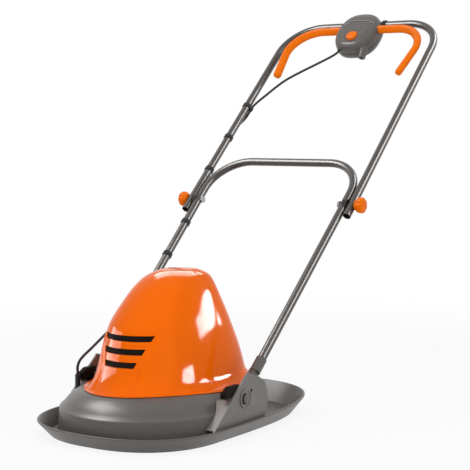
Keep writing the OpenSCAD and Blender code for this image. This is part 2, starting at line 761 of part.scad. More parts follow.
module brushes() {
  low = can_top - commutator_h;
  color("black") placed() both_sides()
    translate([commutator_r + clear, -brush_t / 2, low + (commutator_h - brush_t) / 2])
    cube([brush_len / 2 + over, brush_t, brush_t]);
}

// Rotor

module rotor_shaft() {
  color("silver") placed() translate([0, 0, shaft_z])
    cylinder(r = shaft_r, h = can_top + bearing_h - clear - shaft_z, $fn = round_fn);
}

module armature() {
  color("gray") placed() translate([0, 0, stator_z - armature_over]) difference() {
    cylinder(r = stator_in_r - air_gap, h = stator_h + 2 * armature_over, $fn = ring_n);
    translate([0, 0, -over]) cylinder(r = shaft_r + slip, h = can_h, $fn = round_fn);
  }
}

module commutator() {
  color("peru") placed() translate([0, 0, can_top - commutator_h - over]) difference() {
    cylinder(r = commutator_r, h = commutator_h, $fn = round_fn);
    translate([0, 0, -over]) cylinder(r = shaft_r + slip, h = can_h, $fn = round_fn);
  }
}

module impeller() {
  color("black") placed() translate([0, 0, hub_z]) difference() {
    union() {
      cylinder(r = hub_r, h = hub_h, $fn = round_fn);
      translate([0, 0, hub_h]) cylinder(r = fan_r, h = fan_t, $fn = ring_n);
      for (i = [0:vane_count - 1]) rotate([0, 0, 360 * i / vane_count])
        translate([vane_in_r, -vane_t / 2, hub_h]) cube([fan_r - vane_in_r - vane_t, vane_t, fan_t + vane_h]);
    }
    translate([0, 0, -over]) cylinder(r = blade_bolt_r + slip, h = hub_h, $fn = round_fn);
    translate([0, 0, bolt_bite]) cylinder(r = shaft_r + slip, h = hub_h + vane_h, $fn = round_fn);
  }
}

module height_spacer() {
  color("black") placed() translate([0, 0, blade_z + blade_t])
    tube(2 * hub_r, hub_r - blade_bolt_r - slip, spacer_t);
}

module blade() {
  half = blade_len / 2;
  w = blade_w / 2;
  tip = half * blade_tip_share;
  edge = w * blade_edge_share;
  color("silver") placed() translate([0, 0, blade_z]) difference() {
    linear_extrude(height = blade_t) polygon([[-half, -w + edge], [-half, w], [-tip, w], [-hub_r, w - edge],
      [hub_r, w - edge], [half - edge, w - edge], [half, w - edge], [half, -w], [tip, -w], [hub_r, -w + edge],
      [-hub_r, -w + edge]]);
    translate([0, 0, -over]) cylinder(r = blade_bolt_r + slip, h = blade_t + 2 * over, $fn = round_fn);
  }
}

module blade_bolt() {
  color("silver") placed() {
    translate([0, 0, blade_z - bolt_head_h]) cylinder(r = bolt_head_r, h = bolt_head_h, $fn = 6);
    translate([0, 0, blade_z - over])
      cylinder(r = blade_bolt_r, h = over + blade_t + spacer_t + bolt_bite, $fn = round_fn);
  }
}

// Lower handle

module lower_tube() {
  turn_z = cross_at - lower_bend;
  turn_x = foot_half + (turn_z * sin(splay) - lower_bend) / cos(splay);
  leg_from = collar_at + collar_floor + clear;
  meet = (turn_x - foot_half) * sin(splay) + turn_z * cos(splay);
  color("#5c5452") difference() {
    union() {
      on_handle() both_sides() translate([turn_x, 0, turn_z]) rotate([0, splay, 0]) {
        translate([lower_bend, 0, leg_from - meet]) tube(tube_d, tube_wall, meet - leg_from);
        tube_bend(lower_bend, 90 + splay, tube_d, tube_wall);
      }
      on_handle() translate([-turn_x - over, 0, cross_at]) rotate([0, 90, 0])
        tube(tube_d + 2 * seam, tube_wall + 2 * seam, 2 * (turn_x + over));
    }
    on_handle() translate([-upper_half, 0, clamp_s]) rotate([0, 90, 0])
      cylinder(d = bolt_d + 2 * slip, h = 2 * upper_half, $fn = round_fn);
  }
}

module handle_foot(side) {
  on_handle() difference() {
    union() {
      translate([side * foot_half - foot_t / 2, 0, 0]) rotate([0, 90, 0])
        cylinder(d = foot_boss_d, h = foot_t, $fn = round_fn);
      translate([side * foot_half - foot_t / 2, -foot_bar_w / 2, 0])
        cube([foot_t, foot_bar_w, collar_at + over]);
      translate([side * foot_half, 0, 0]) rotate([0, side * splay, 0]) translate([0, 0, collar_at])
        cylinder(d = tube_d + 2 * collar_wall, h = collar_len, $fn = round_fn);
    }
    translate([side * foot_half, 0, 0]) rotate([0, side * splay, 0])
      translate([0, 0, collar_at + collar_floor])
      cylinder(d = tube_d + 2 * slip, h = collar_len, $fn = round_fn);
    translate([side * foot_half - foot_t, 0, 0]) rotate([0, 90, 0])
      cylinder(d = pin_d + 2 * run_fit, h = 2 * foot_t, $fn = round_fn);
  }
}

module foot_right() {
  color("#4a4644") handle_foot(1);
}

module foot_left() {
  color("#4a4644") handle_foot(-1);
}

// A washer that hugs the lower tube and carries the upper one
module saddle(side) {
  on_handle() difference() {
    translate([side * clamp_half, 0, clamp_s]) rotate([0, side * 90, 0])
      cylinder(d = saddle_d, h = tube_r + tube_gap - clear, $fn = round_fn);
    translate([side * foot_half, 0, 0]) rotate([0, side * splay, 0]) translate([0, 0, clamp_s - saddle_d])
      cylinder(d = tube_d + 2 * slip, h = 2 * saddle_d, $fn = round_fn);
    translate([side * clamp_half - saddle_d, 0, clamp_s]) rotate([0, 90, 0])
      cylinder(d = bolt_d + 2 * slip, h = 2 * saddle_d, $fn = round_fn);
  }
}

module saddle_right() {
  color("black") saddle(1);
}

module saddle_left() {
  color("black") saddle(-1);
}

module clamp_bolts() {
  head_x = clamp_half - tube_r - clear;
  color("silver") on_handle() both_sides() {
    translate([head_x - bolt_head_t, 0, clamp_s]) rotate([0, 90, 0])
      cylinder(d = bolt_head_d, h = bolt_head_t, $fn = round_fn);
    translate([head_x - over, 0, clamp_s]) rotate([0, 90, 0])
      cylinder(d = bolt_d, h = upper_half + tube_r + bolt_end - head_x + over, $fn = round_fn);
  }
}

// A band round a tube with a loop for the lead on one side
module clip() {
  difference() {
    union() {
      cylinder(d = tube_d + 2 * clip_t, h = clip_w, $fn = round_fn);
      translate([0, -lead_off, 0]) cylinder(d = lead_d + 2 * clip_t, h = clip_w, $fn = round_fn);
    }
    translate([0, 0, -over]) cylinder(d = tube_d + 2 * slip, h = clip_w + 2 * over, $fn = round_fn);
    translate([0, -lead_off, -over]) cylinder(d = lead_d + 2 * slip, h = clip_w + 2 * over, $fn = round_fn);
  }
}

module lower_clips() {
  color("black") for (s = lower_clip_shares) on_lower_leg(-1) translate([0, 0, clamp_s * s])
    rotate([0, 0, lead_turn]) clip();
}

module upper_clips() {
  color("black") on_handle() {
    for (s = upper_clip_shares) translate([-upper_half, 0, clamp_s + grip_s * s])
      rotate([0, 0, lead_turn]) clip();
    translate([-upper_half, 0, clamp_s + grip_s * exit_clip_share]) rotate([0, 0, exit_turn]) clip();
  }
}

// Upper handle

module upper_tube() {
  turn_x = upper_half - upper_bend;
  turn_z = grip_at - upper_bend;
  color("#5c5452") on_handle() difference() {
    union() {
      for (side = [-1, 1]) translate([side * upper_half, 0, tail_at])
        tube(tube_d, tube_wall, turn_z - tail_at);
      both_sides() translate([turn_x, 0, turn_z]) tube_bend(upper_bend, 90, tube_d, tube_wall);
      translate([-turn_x, 0, grip_at]) rotate([0, 90, 0]) tube(tube_d, tube_wall, 2 * turn_x);
    }
    translate([-upper_half - tube_d, 0, clamp_s]) rotate([0, 90, 0])
      cylinder(d = bolt_d + 2 * run_fit, h = 2 * (upper_half + tube_d), $fn = round_fn);
  }
}

// Knobs, levers and the lock button

module knob(side) {
  on_handle() translate([side * (upper_half + tube_r + clear), 0, clamp_s]) rotate([0, side * 90, 0])
    difference() {
      union() {
        cylinder(d1 = knob_d * knob_foot_share, d2 = knob_d, h = knob_t * knob_cone_share, $fn = round_fn);
        translate([0, 0, knob_t * knob_cone_share])
          cylinder(d = knob_d, h = knob_t * (knob_rim_share - knob_cone_share), $fn = round_fn);
        translate([0, 0, knob_t * knob_rim_share])
          cylinder(d1 = knob_d, d2 = knob_d * knob_crown_share, h = knob_t * (1 - knob_rim_share),
            $fn = round_fn);
      }
      for (i = [0:scallop_n - 1]) rotate([0, 0, 360 * i / scallop_n])
        translate([knob_d / 2 + scallop_d / 4, 0, knob_t * scallop_foot_share])
        cylinder(d = scallop_d, h = knob_t, $fn = round_fn);
      translate([0, 0, -over]) cylinder(d = bolt_d + 2 * run_fit, h = bolt_end + over, $fn = round_fn);
    }
}

module knob_right() {
  color("darkorange") knob(1);
}

module knob_left() {
  color("darkorange") knob(-1);
}

// The path of one lever arm: a straight arm out of the box, a bend and a hanging end
module lever_path(d) {
  translate([lever_hub_x, 0, lever_z]) rotate([0, 90, 0])
    cylinder(d = d + 2 * seam, h = lever_turn_x - lever_hub_x + over, $fn = round_fn);
  translate([lever_turn_x, 0, lever_z - lever_turn_r]) rotate([0, lever_end_tilt, 0]) {
    rotate([90, 0, 0]) rotate_extrude(angle = 90 + lever_end_tilt, $fn = ring_n) translate([lever_turn_r, 0])
      circle(d = d, $fn = round_fn);
    translate([lever_turn_r, 0, -lever_end_len]) {
      cylinder(d = d, h = lever_end_len, $fn = round_fn);
      mirror([0, 0, 1]) cylinder(d1 = d, d2 = d * lever_tip_share, h = d / 4, $fn = round_fn);
    }
  }
}

module lever() {
  difference() {
    union() {
      translate([0, -lever_y, 0]) lever_path(lever_d);
      translate([lever_hub_x, -lever_y - lever_d / 2, lever_z]) rotate([-90, 0, 0])
        cylinder(d = lever_hub_d, h = lever_d, $fn = round_fn);
    }
    translate([lever_hub_x, -lever_y - lever_d, lever_z]) rotate([-90, 0, 0])
      cylinder(d = lever_pin_d + 2 * run_fit, h = 2 * lever_d, $fn = round_fn);
  }
}

module lever_right() {
  color("darkorange") on_handle() lever();
}

module lever_left() {
  color("darkorange") on_handle() mirror([1, 0, 0]) lever();
}

module lever_pins() {
  color("silver") on_handle() both_sides() translate([lever_hub_x, -box_front_d + box_wall + slip, lever_z])
    rotate([-90, 0, 0])
    cylinder(d = lever_pin_d, h = box_front_d + box_rear_d - 2 * box_wall - 2 * slip, $fn = round_fn);
}

// Switch box

// One ring of the box outline, a share of its size at a share of a depth, shrunk by a wall
function box_ring(row, depth, shrink) = [for (p = outline(box_w / 2 * row[0] - shrink,
  box_len / 2 * row[0] - shrink, box_len / 2 * row[0] - shrink, 0, box_n, box_n, hood_n))
  [p[0], depth * row[1], box_z + p[1]]];

// A hollow half of the box, towards a depth along Y
module box_half(rows, depth) {
  inner_depth = depth - sign(depth) * box_wall;
  outer = [for (row = rows) box_ring(row, depth, 0)];
  inner = [for (i = [len(rows) - 1:-1:0]) box_ring(rows[i], inner_depth, box_wall)];
  rings = concat(outer, inner);
  last = len(rows) - 1;
  count = len(rings);
  turn = depth > 0;
  faces = concat([for (j = [0:count - 1], i = [0:hood_n - 1]) if (j != last)
      let (a = j * hood_n, b = ((j + 1) % count) * hood_n, k = (i + 1) % hood_n)
      each [[a + i, b + i, a + k], [a + k, b + i, b + k]]],
    [[for (i = [hood_n - 1:-1:0]) last * hood_n + i]], [[for (i = [0:hood_n - 1]) (last + 1) * hood_n + i]]);
  polyhedron([for (r = rings) each r], turn ? [for (f = faces) [for (i = [len(f) - 1:-1:0]) f[i]]] : faces);
}

// Room in the box for the top bar, the levers, the inlet and the box screws
module box_cuts() {
  translate([-box_w, 0, grip_at]) rotate([0, 90, 0])
    cylinder(d = tube_d + 2 * slip, h = 2 * box_w, $fn = round_fn);
  translate([-box_w, -lever_y - lever_d / 2 - clear, lever_z - lever_d / 2 - clear])
    cube([2 * box_w, lever_d + 2 * clear, lever_d + lever_room]);
  at_inlet() cylinder(d = inlet_d + 2 * slip, h = inlet_len + over, center = true, $fn = round_fn);
}

module at_inlet() {
  translate([inlet_x, 0, box_z - box_len / 2 * inlet_share]) rotate([inlet_tilt, 0, 0]) children();
}

// Round bars at the places of the box screws, from one depth to another
module at_box_screws(d, from, to) {
  for (s = box_screw_shares) translate([box_w / 2 * s[0], from, box_z + box_len / 2 * s[1]])
    rotate([-90, 0, 0]) cylinder(d = d, h = to - from, $fn = round_fn);
}

module box_front() {
  last = len(upper_route) - 1;
  color("gray") on_handle() difference() {
    union() {
      box_half(box_front_shares, -box_front_d);
      at_box_screws(pillar_d, -box_front_d + box_wall / 2, 0);
    }
    box_cuts();
    translate([button_x, -box_front_d - over, button_z]) rotate([-90, 0, 0])
      cylinder(d = button_d + 2 * clear, h = box_front_d, $fn = round_fn);
    bar(upper_route[last - 1], upper_route[last], lead_d + 2 * clear);
  }
}

module box_rear() {
  color("gray") on_handle() difference() {
    union() {
      box_half(box_rear_shares, box_rear_d);
      at_box_screws(pillar_d, 0, box_rear_d - box_wall / 2);
    }
    box_cuts();
    at_box_screws(screw_d + 2 * slip, -over, box_rear_d);
    at_box_screws(screw_head_d + 2 * slip, box_rear_d * head_share, box_rear_d + over);
  }
}

module box_screws() {
  seat = box_rear_d * head_share;
  color("silver") on_handle() {
    at_box_screws(screw_d, -box_front_d / 2, seat + over);
    at_box_screws(screw_head_d, seat, seat + screw_head_h);
  }
}

module power_switch() {
  color("black") on_handle() translate([-switch_w / 2, -box_front_d / 2, lever_z - lever_hub_d - switch_len])
    cube([switch_w, box_front_d / 2 + box_rear_d - box_wall, switch_len]);
}

module mains_inlet() {
  color("gray") on_handle() at_inlet() difference() {
    cylinder(d1 = inlet_d * inlet_taper_share, d2 = inlet_d, h = inlet_len, center = true, $fn = round_fn);
    cylinder(d = inlet_bore, h = 2 * inlet_len, center = true, $fn = round_fn);
  }
}

module lock_button() {
  color("darkorange") on_handle() translate([button_x, -box_front_d - button_travel - over, button_z])
    rotate([-90, 0, 0]) cylinder(d = button_d, h = button_len, $fn = round_fn);
}

// Lead

module lead_deck() {
  color("black") placed() lead(deck_route, [1, 0, 0]);
}

module lead_lower() {
  color("black") on_handle() lead(lower_route, [0, 1, 0]);
}

module lead_fold() {
  color("black") on_handle() lead(fold_route, [0, 1, 0]);
}

module lead_upper() {
  color("black") on_handle() lead(upper_route, [0, 1, 0]);
}

deck_shell();
motor_hood();
louver_insert();
hood_screws();
bracket_left();
bracket_right();
bracket_screws();
stop_left();
stop_right();
pivot_pin_left();
pivot_pin_right();
lead_gland();
motor_plate();
plate_screws();
motor_can();
motor_cap();
motor_bolts();
stator();
field_coils();
bearing_lower();
bearing_upper();
brush_holders();
brushes();
rotor_shaft();
armature();
commutator();
impeller();
height_spacer();
blade();
blade_bolt();
lower_tube();
foot_left();
foot_right();
saddle_left();
saddle_right();
clamp_bolts();
lower_clips();
lead_lower();
upper_tube();
box_front();
box_rear();
box_screws();
power_switch();
lever_pins();
mains_inlet();
upper_clips();
lead_upper();
knob_left();
knob_right();
lever_left();
lever_right();
lock_button();
lead_fold();
lead_deck();
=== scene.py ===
"""Looks of an electric hover mower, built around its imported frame."""

import json
import logging
import math
from dataclasses import dataclass
from enum import Enum
from functools import cached_property
from typing import Sequence, Union

import bmesh
import bpy
import numpy as np
from mathutils import Matrix, Vector

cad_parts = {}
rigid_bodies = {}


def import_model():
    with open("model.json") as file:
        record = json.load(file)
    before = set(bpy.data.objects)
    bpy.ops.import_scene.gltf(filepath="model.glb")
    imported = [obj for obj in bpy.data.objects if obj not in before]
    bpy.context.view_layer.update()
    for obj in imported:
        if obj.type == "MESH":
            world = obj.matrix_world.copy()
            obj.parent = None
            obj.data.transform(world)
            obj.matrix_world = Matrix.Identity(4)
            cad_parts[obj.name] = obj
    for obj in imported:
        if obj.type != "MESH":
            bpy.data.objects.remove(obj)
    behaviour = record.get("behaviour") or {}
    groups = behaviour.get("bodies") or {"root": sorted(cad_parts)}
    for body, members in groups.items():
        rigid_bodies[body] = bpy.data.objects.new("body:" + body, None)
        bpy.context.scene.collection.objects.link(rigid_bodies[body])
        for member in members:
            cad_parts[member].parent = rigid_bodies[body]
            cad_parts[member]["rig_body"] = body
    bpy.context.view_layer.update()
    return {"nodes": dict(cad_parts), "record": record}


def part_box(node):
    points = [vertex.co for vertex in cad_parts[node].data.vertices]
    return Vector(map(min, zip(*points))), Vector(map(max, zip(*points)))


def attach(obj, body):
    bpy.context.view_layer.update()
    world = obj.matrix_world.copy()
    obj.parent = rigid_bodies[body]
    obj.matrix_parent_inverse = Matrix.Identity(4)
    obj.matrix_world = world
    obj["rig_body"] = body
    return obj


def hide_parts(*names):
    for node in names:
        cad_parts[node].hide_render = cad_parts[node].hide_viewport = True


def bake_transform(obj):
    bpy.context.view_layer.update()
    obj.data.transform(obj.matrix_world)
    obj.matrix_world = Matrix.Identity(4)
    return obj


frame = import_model()
LOG = logging.getLogger("hover_mower")

MM = 0.001
NOISE_MIDDLE = 0.5
MERGE_GAP = 1e-6
COPY_MERGE_GAP = 2e-6
FLAT_ANGLE = 0.6
SOFT_CREASE = 38.0
WHITE = (1.0, 1.0, 1.0, 1.0)

Pair = tuple[float, float]
Triple = tuple[float, float, float]
Color = Triple
Points = np.ndarray


class Slot(Enum):
    """Material slots of the record that the pieces take their finish from."""

    DECK = "deck_grey"
    HOOD = "hood_orange"
    BLACK = "black_plastic"
    TUBE = "tube_paint"
    STEEL = "steel"
    CAST = "cast_metal"
    COPPER = "copper"
    CARBON = "carbon"
    LEAD = "lead_rubber"


class Side(Enum):
    """The two sides of the machine, as signs of X."""

    LEFT = -1
    RIGHT = 1

    @property
    def label(self) -> str:
        """The side's word in the names of nodes and pieces."""
        return self.name.lower()


class Socket:
    """A shader output whose operators add Math nodes."""

    def __init__(self, shader: "Shader", output: bpy.types.NodeSocket) -> None:
        """Keeps the shader and the output that is wrapped."""
        self.shader = shader
        self.output = output

    def _math(self, operation: str, *values: "Value") -> "Socket":
        """Output of a Math node with an operation and its inputs in order."""
        return self.shader.node("ShaderNodeMath", {"operation": operation}, dict(enumerate(values)))

    def __add__(self, other: "Value") -> "Socket":
        """Sum."""
        return self._math("ADD", self, other)

    def __radd__(self, other: "Value") -> "Socket":
        """Sum with a number on the left."""
        return self._math("ADD", other, self)

    def __sub__(self, other: "Value") -> "Socket":
        """Difference."""
        return self._math("SUBTRACT", self, other)

    def __rsub__(self, other: "Value") -> "Socket":
        """Difference from a number on the left."""
        return self._math("SUBTRACT", other, self)

    def __mul__(self, other: "Value") -> "Socket":
        """Product."""
        return self._math("MULTIPLY", self, other)

    def __rmul__(self, other: "Value") -> "Socket":
        """Product with a number on the left."""
        return self._math("MULTIPLY", other, self)

    def ramp(self, low: float, high: float) -> "Socket":
        """Smooth step of the value, from 0 at low to 1 at high."""
        inputs = {"Value": self, "From Min": low, "From Max": high}
        return self.shader.node("ShaderNodeMapRange", {"interpolation_type": "SMOOTHSTEP"}, inputs)

    def limited(self) -> "Socket":
        """The value held between 0 and 1."""
        return self.shader.node("ShaderNodeClamp", {}, {"Value": self})


Value = Union[float, Socket]


class Shader:
    """One node tree, and the only method that adds nodes to it."""

    MIXED_COLOR = 2

    def __init__(self, tree: bpy.types.NodeTree) -> None:
        """Empties the tree."""
        self.tree = tree
        tree.nodes.clear()

    def node(self, kind: str, settings: dict | None = None, inputs: dict | None = None,
             output: Union[int, str] = 0) -> Socket:
        """Adds a node.

        Args:
            kind: The node's type.
            settings: Properties, which are set first.
            inputs: Values or links of its sockets, by name or number.
            output: Which output is wanted.

        Returns:
            The wanted output, or the node's first one.
        """
        made = self.tree.nodes.new(kind)
        for key, value in (settings or {}).items():
            setattr(made, key, value)
        for key, value in (inputs or {}).items():
            target = self._input(made, key)
            if isinstance(value, Socket):
                self.tree.links.new(value.output, target)
            else:
                target.default_value = value
        return Socket(self, made.outputs[output]) if made.outputs else Socket(self, None)

    @staticmethod
    def _input(made: bpy.types.Node, key: Union[int, str]) -> bpy.types.NodeSocket:
        """Finds an input of a node.

        Args:
            made: The node.
            key: The input's number, or the name of an enabled one.

        Returns:
            The input.
        """
        if isinstance(key, int):
            return made.inputs[key]
        return next(s for s in made.inputs if s.name == key and s.enabled)

    def coords(self) -> Socket:
        """Places in the piece's own frame, in metres."""
        return self.node("ShaderNodeTexCoord", output="Object")

    def noise(self, at: Socket, scale: float, detail: float) -> Socket:
        """Cloudy values from about 0 to 1, with a number of clouds in a metre and of finer octaves."""
        return self.node("ShaderNodeTexNoise", {}, {"Vector": at, "Scale": scale, "Detail": detail})

    def mix(self, share: Value, low: Union[Color, Socket], high: Union[Color, Socket]) -> Socket:
        """A colour between two colours.

        Args:
            share: 0 gives the low colour, 1 the high one.
            low: First colour.
            high: Second colour.

        Returns:
            The mixed colour.
        """
        ends = {k: v if isinstance(v, Socket) else (*v, 1.0) for k, v in (("A", low), ("B", high))}
        inputs = {"Factor": share, **ends}
        return self.node("ShaderNodeMix", {"data_type": "RGBA"}, inputs, output=self.MIXED_COLOR)

    def bump(self, height: Socket, strength: float, depth: float) -> Socket:
        """A normal from a height of 0 to 1, with a strength and a depth in metres."""
        inputs = {"Height": height, "Strength": strength, "Distance": depth}
        return self.node("ShaderNodeBump", {}, inputs)


def scaled(color: Color, share: float) -> Color:
    """The colour made lighter or darker by a share."""
    return tuple(min(1.0, c * share) for c in color)


@dataclass(frozen=True)
class Finish:
    """A finish of one material: a base colour with clouds, fine grain and worn edges."""

    name: str
    color: Color
    roughness: float
    grain_scale: float = 1500.0
    grain_depth: float = 0.00006
    grain_strength: float = 0.25
    grain_detail: float = 2.0
    cloud_scale: float = 9.0
    cloud_share: float = 0.06
    cloud_detail: float = 3.0
    speckle_share: float = 0.12
    speckle_span: Pair = (0.35, 0.75)
    speckle_tone: float = 1.5
    wear_share: float = 0.0
    wear_span: Pair = (0.52, 0.6)
    wear_tone: float = 1.9
    rough_by_cloud: float = 0.16
    rough_by_grain: float = 0.1
    metallic: float = 0.0
    coat: float = 0.0
    coat_roughness: float = 0.08
    specular: float = 0.5
    stretch: Triple = (1.0, 1.0, 1.0)

    def material(self) -> bpy.types.Material:
        """Makes the material once and gives it again when it is asked for.

        Returns:
            The material of this finish.
        """
        found = bpy.data.materials.get(self.name)
        if found:
            return found
        material = bpy.data.materials.new(self.name)
        material.use_nodes = True
        shader = Shader(material.node_tree)
        surface = self.surface(shader)
        shader.node("ShaderNodeOutputMaterial", {}, {"Surface": surface})
        return material

    def surface(self, shader: Shader) -> Socket:
        """Builds the shader of the surface.

        Args:
            shader: The tree that the nodes go to.

        Returns:
            The shader's output.
        """
        at = shader.coords()
        drawn = shader.node("ShaderNodeVectorMath", {"operation": "MULTIPLY"}, {0: at, 1: self.stretch})
        cloud = shader.noise(at, self.cloud_scale, self.cloud_detail)
        grain = shader.noise(drawn, self.grain_scale, self.grain_detail)
        dark = scaled(self.color, 1 - self.cloud_share)
        light = scaled(self.color, 1 + self.cloud_share)
        tone = shader.mix(cloud, dark, light)
        speckle = grain.ramp(*self.speckle_span) * self.speckle_share
        tone = shader.mix(speckle, tone, scaled(self.color, self.speckle_tone))
        if self.wear_share > 0:
            edge = shader.node("ShaderNodeNewGeometry", output="Pointiness").ramp(*self.wear_span)
            tone = shader.mix(edge * self.wear_share, tone, scaled(self.color, self.wear_tone))
        rough = (cloud - NOISE_MIDDLE) * self.rough_by_cloud + (grain - NOISE_MIDDLE) * self.rough_by_grain
        inputs = {"Base Color": tone, "Roughness": (rough + self.roughness).limited(),
                  "Metallic": self.metallic, "Specular IOR Level": self.specular,
                  "Coat Weight": self.coat, "Coat Roughness": self.coat_roughness,
                  "Normal": shader.bump(grain, self.grain_strength, self.grain_depth)}
        return shader.node("ShaderNodeBsdfPrincipled", {}, inputs)


FINISHES: dict[Slot, Finish] = {
    Slot.DECK: Finish("grained_grey_plastic", (0.097, 0.088, 0.080), 0.36, wear_share=0.3),
    Slot.HOOD: Finish("gloss_orange_plastic", (0.9, 0.142, 0.0), 0.09, grain_scale=220.0,
                      grain_depth=0.00004, grain_strength=0.008, cloud_share=0.02, speckle_share=0.0,
                      specular=0.06),
    Slot.BLACK: Finish("black_moulding", (0.012, 0.0115, 0.0115), 0.42, wear_share=0.25),
    Slot.TUBE: Finish("brown_grey_tube_paint", (0.036, 0.029, 0.025), 0.3, grain_scale=700.0,
                      grain_depth=0.00002, grain_strength=0.004, cloud_share=0.05, speckle_share=0.0,
                      metallic=0.25, coat=0.5, coat_roughness=0.22),
    Slot.STEEL: Finish("turned_steel", (0.42, 0.42, 0.43), 0.3, grain_scale=900.0, metallic=1.0,
                       wear_share=0.2, stretch=(1.0, 1.0, 9.0)),
    Slot.CAST: Finish("cast_aluminium", (0.46, 0.46, 0.47), 0.5, grain_scale=600.0, grain_depth=0.0002,
                      metallic=1.0),
    Slot.COPPER: Finish("lacquered_copper", (0.5, 0.19, 0.06), 0.35, grain_scale=500.0, metallic=1.0,
                        stretch=(1.0, 1.0, 6.0)),
    Slot.CARBON: Finish("pressed_carbon", (0.02, 0.02, 0.021), 0.6),
    Slot.LEAD: Finish("lead_sheath", (0.011, 0.011, 0.012), 0.5, grain_scale=900.0, cloud_share=0.1),
}
# Near-black plastic of the louver sheet and the stops; on the thin sheets over the bracket bosses the same
# colour is painted shade of a slot and a hole.
BLACK_AND_SLOT_SHADE = Finish("deep_slot_black", (0.006, 0.004, 0.003), 0.7, specular=0.15)
TRIM_ORANGE = Finish("satin_orange_plastic", (0.93, 0.178, 0.0), 0.32, grain_scale=220.0,
                     grain_depth=0.00004, grain_strength=0.004, cloud_share=0.02, speckle_share=0.0,
                     specular=0.09)
BRACKET_GREY = Finish("bracket_grey_plastic", (0.150, 0.144, 0.137), 0.4, wear_share=0.3)


@dataclass(frozen=True)
class Layout:
    """Where the machine and its handle stand in the frame of the part."""

    pivot_y: float = 0.066
    pivot_z: float = 0.078
    lean: float = math.radians(47.0)
    deck_front: float = 0.213

    @cached_property
    def shift(self) -> float:
        """Place of the blade axis along Y, from the deck's own box."""
        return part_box("deck_shell")[0].y + self.deck_front

    def machine(self, points: Points) -> Points:
        """Points round the blade axis, in the frame of the part."""
        return np.asarray(points, float) + (0.0, self.shift, 0.0)

    def handle(self, points: Points) -> Points:
        """Points of the handle's frame, in the frame of the part.

        Args:
            points: X across, Y away from the front, Z up along the legs from the pivot.

        Returns:
            The same points where the handle stands at rest.
        """
        p = np.asarray(points, float)
        s, c = math.sin(self.lean), math.cos(self.lean)
        y = self.pivot_y + p[..., 1] * c + p[..., 2] * s
        z = self.pivot_z - p[..., 1] * s + p[..., 2] * c
        return self.machine(np.stack([p[..., 0], y, z], axis=-1))


LAYOUT = Layout()


def superellipse(width: float, front: float, rear: float, centre: float, powers: Pair, count: int) -> Points:
    """A closed outline with its own front and rear halves.

    Args:
        width: Half width.
        front: Reach in front of the origin.
        rear: Reach behind the origin.
        centre: Where along Y it is widest.
        powers: Roundness of the front and of the rear.
        count: Number of points.

    Returns:
        Points in X and Y, one row each.
    """
    t = 2 * math.pi * np.arange(count) / count
    cos, sin = np.cos(t), np.sin(t)
    n = np.where(sin < 0, powers[0], powers[1])
    x = width * np.sign(cos) * np.abs(cos) ** (2 / n)
    reach = np.where(sin < 0, front + centre, rear - centre)
    y = centre + reach * np.sign(sin) * np.abs(sin) ** (2 / n)
    return np.stack([x, y], axis=-1)


def at_height(outline: Points, z: Union[float, Points]) -> Points:
    """An outline lifted to a height, or to a height for each point."""
    return np.column_stack([outline, np.broadcast_to(z, len(outline))])


def rounded(rings: list[Points], corners: dict[int, float], steps: int = 5) -> list[Points]:
    """Rounds some corners of a profile that is given ring by ring.

    Args:
        rings: The rings in order.
        corners: How far each round reaches from its corner, by the corner's number.
        steps: Rings in each round, less one.

    Returns:
        The rings, with the corners replaced by smooth turns.
    """
    out: list[Points] = []
    for i, ring in enumerate(rings):
        reach = corners.get(i)
        if not reach:
            out.append(ring)
            continue
        back, ahead = rings[i - 1] - ring, rings[(i + 1) % len(rings)] - ring
        start = ring + back / np.linalg.norm(back, axis=1, keepdims=True) * reach
        end = ring + ahead / np.linalg.norm(ahead, axis=1, keepdims=True) * reach
        for t in np.linspace(0, 1, steps + 1):
            out.append(start * (1 - t) ** 2 + ring * 2 * t * (1 - t) + end * t * t)
    return out


def smooth_rows(table: Sequence[Sequence[float]], count: int) -> Points:
    """Rows on smooth curves through a table whose first column rises.

    Args:
        table: The rows.
        count: Number of rows wanted.

    Returns:
        The finer rows.
    """
    rows = np.asarray(table, float)
    x = rows[:, 0]
    slope = np.gradient(rows, x, axis=0)
    places = np.linspace(x[0], x[-1], count)
    k = np.clip(np.searchsorted(x, places, side="right") - 1, 0, len(x) - 2)
    h = (x[k + 1] - x[k])[:, None]
    t = ((places - x[k])[:, None]) / h
    low, high = rows[k], rows[k + 1]
    return ((2 * t**3 - 3 * t**2 + 1) * low + (t**3 - 2 * t**2 + t) * h * slope[k]
            + (3 * t**2 - 2 * t**3) * high + (t**3 - t**2) * h * slope[k + 1])


def step(values: Points, low: float, high: float) -> Points:
    """Smooth steps from 0 at low to 1 at high."""
    t = np.clip((values - low) / (high - low), 0, 1)
    return t * t * (3 - 2 * t)


def bell(reach: int) -> Points:
    """Weights of a running average over reach values on either side."""
    weights = np.hanning(2 * reach + 3)[1:-1]
    return weights / weights.sum()


def even_ring(ring: Points, count: int, reach: int) -> Points:
    """A closed ring with evenly spaced points and no sudden change of its curvature.

    Args:
        ring: The ring, with X and Y in its first columns.
        count: Number of points wanted.
        reach: How many points on either side are averaged.

    Returns:
        The even ring.
    """
    closed = np.vstack([ring, ring[:1]])
    along = np.append(0, np.cumsum(np.linalg.norm(np.diff(closed[:, :2], axis=0), axis=1)))
    places = along[-1] * np.arange(count) / count
    even = np.column_stack([np.interp(places, along, column) for column in closed.T])
    padded = np.pad(even, ((reach, reach), (0, 0)), mode="wrap")
    return np.column_stack([np.convolve(column, bell(reach), mode="valid") for column in padded.T])


def evened(rows: Points, reach: int) -> Points:
    """Evens out the columns of a table after its first one.

    Args:
        rows: The table.
        reach: How many rows on either side are averaged.

    Returns:
        The table without small waves.
    """
    padded = np.pad(rows, ((reach, reach), (0, 0)), mode="reflect", reflect_type="odd")
    columns = [np.convolve(column, bell(reach), mode="valid") for column in padded.T]
    return np.column_stack([rows[:, 0], *columns[1:]])


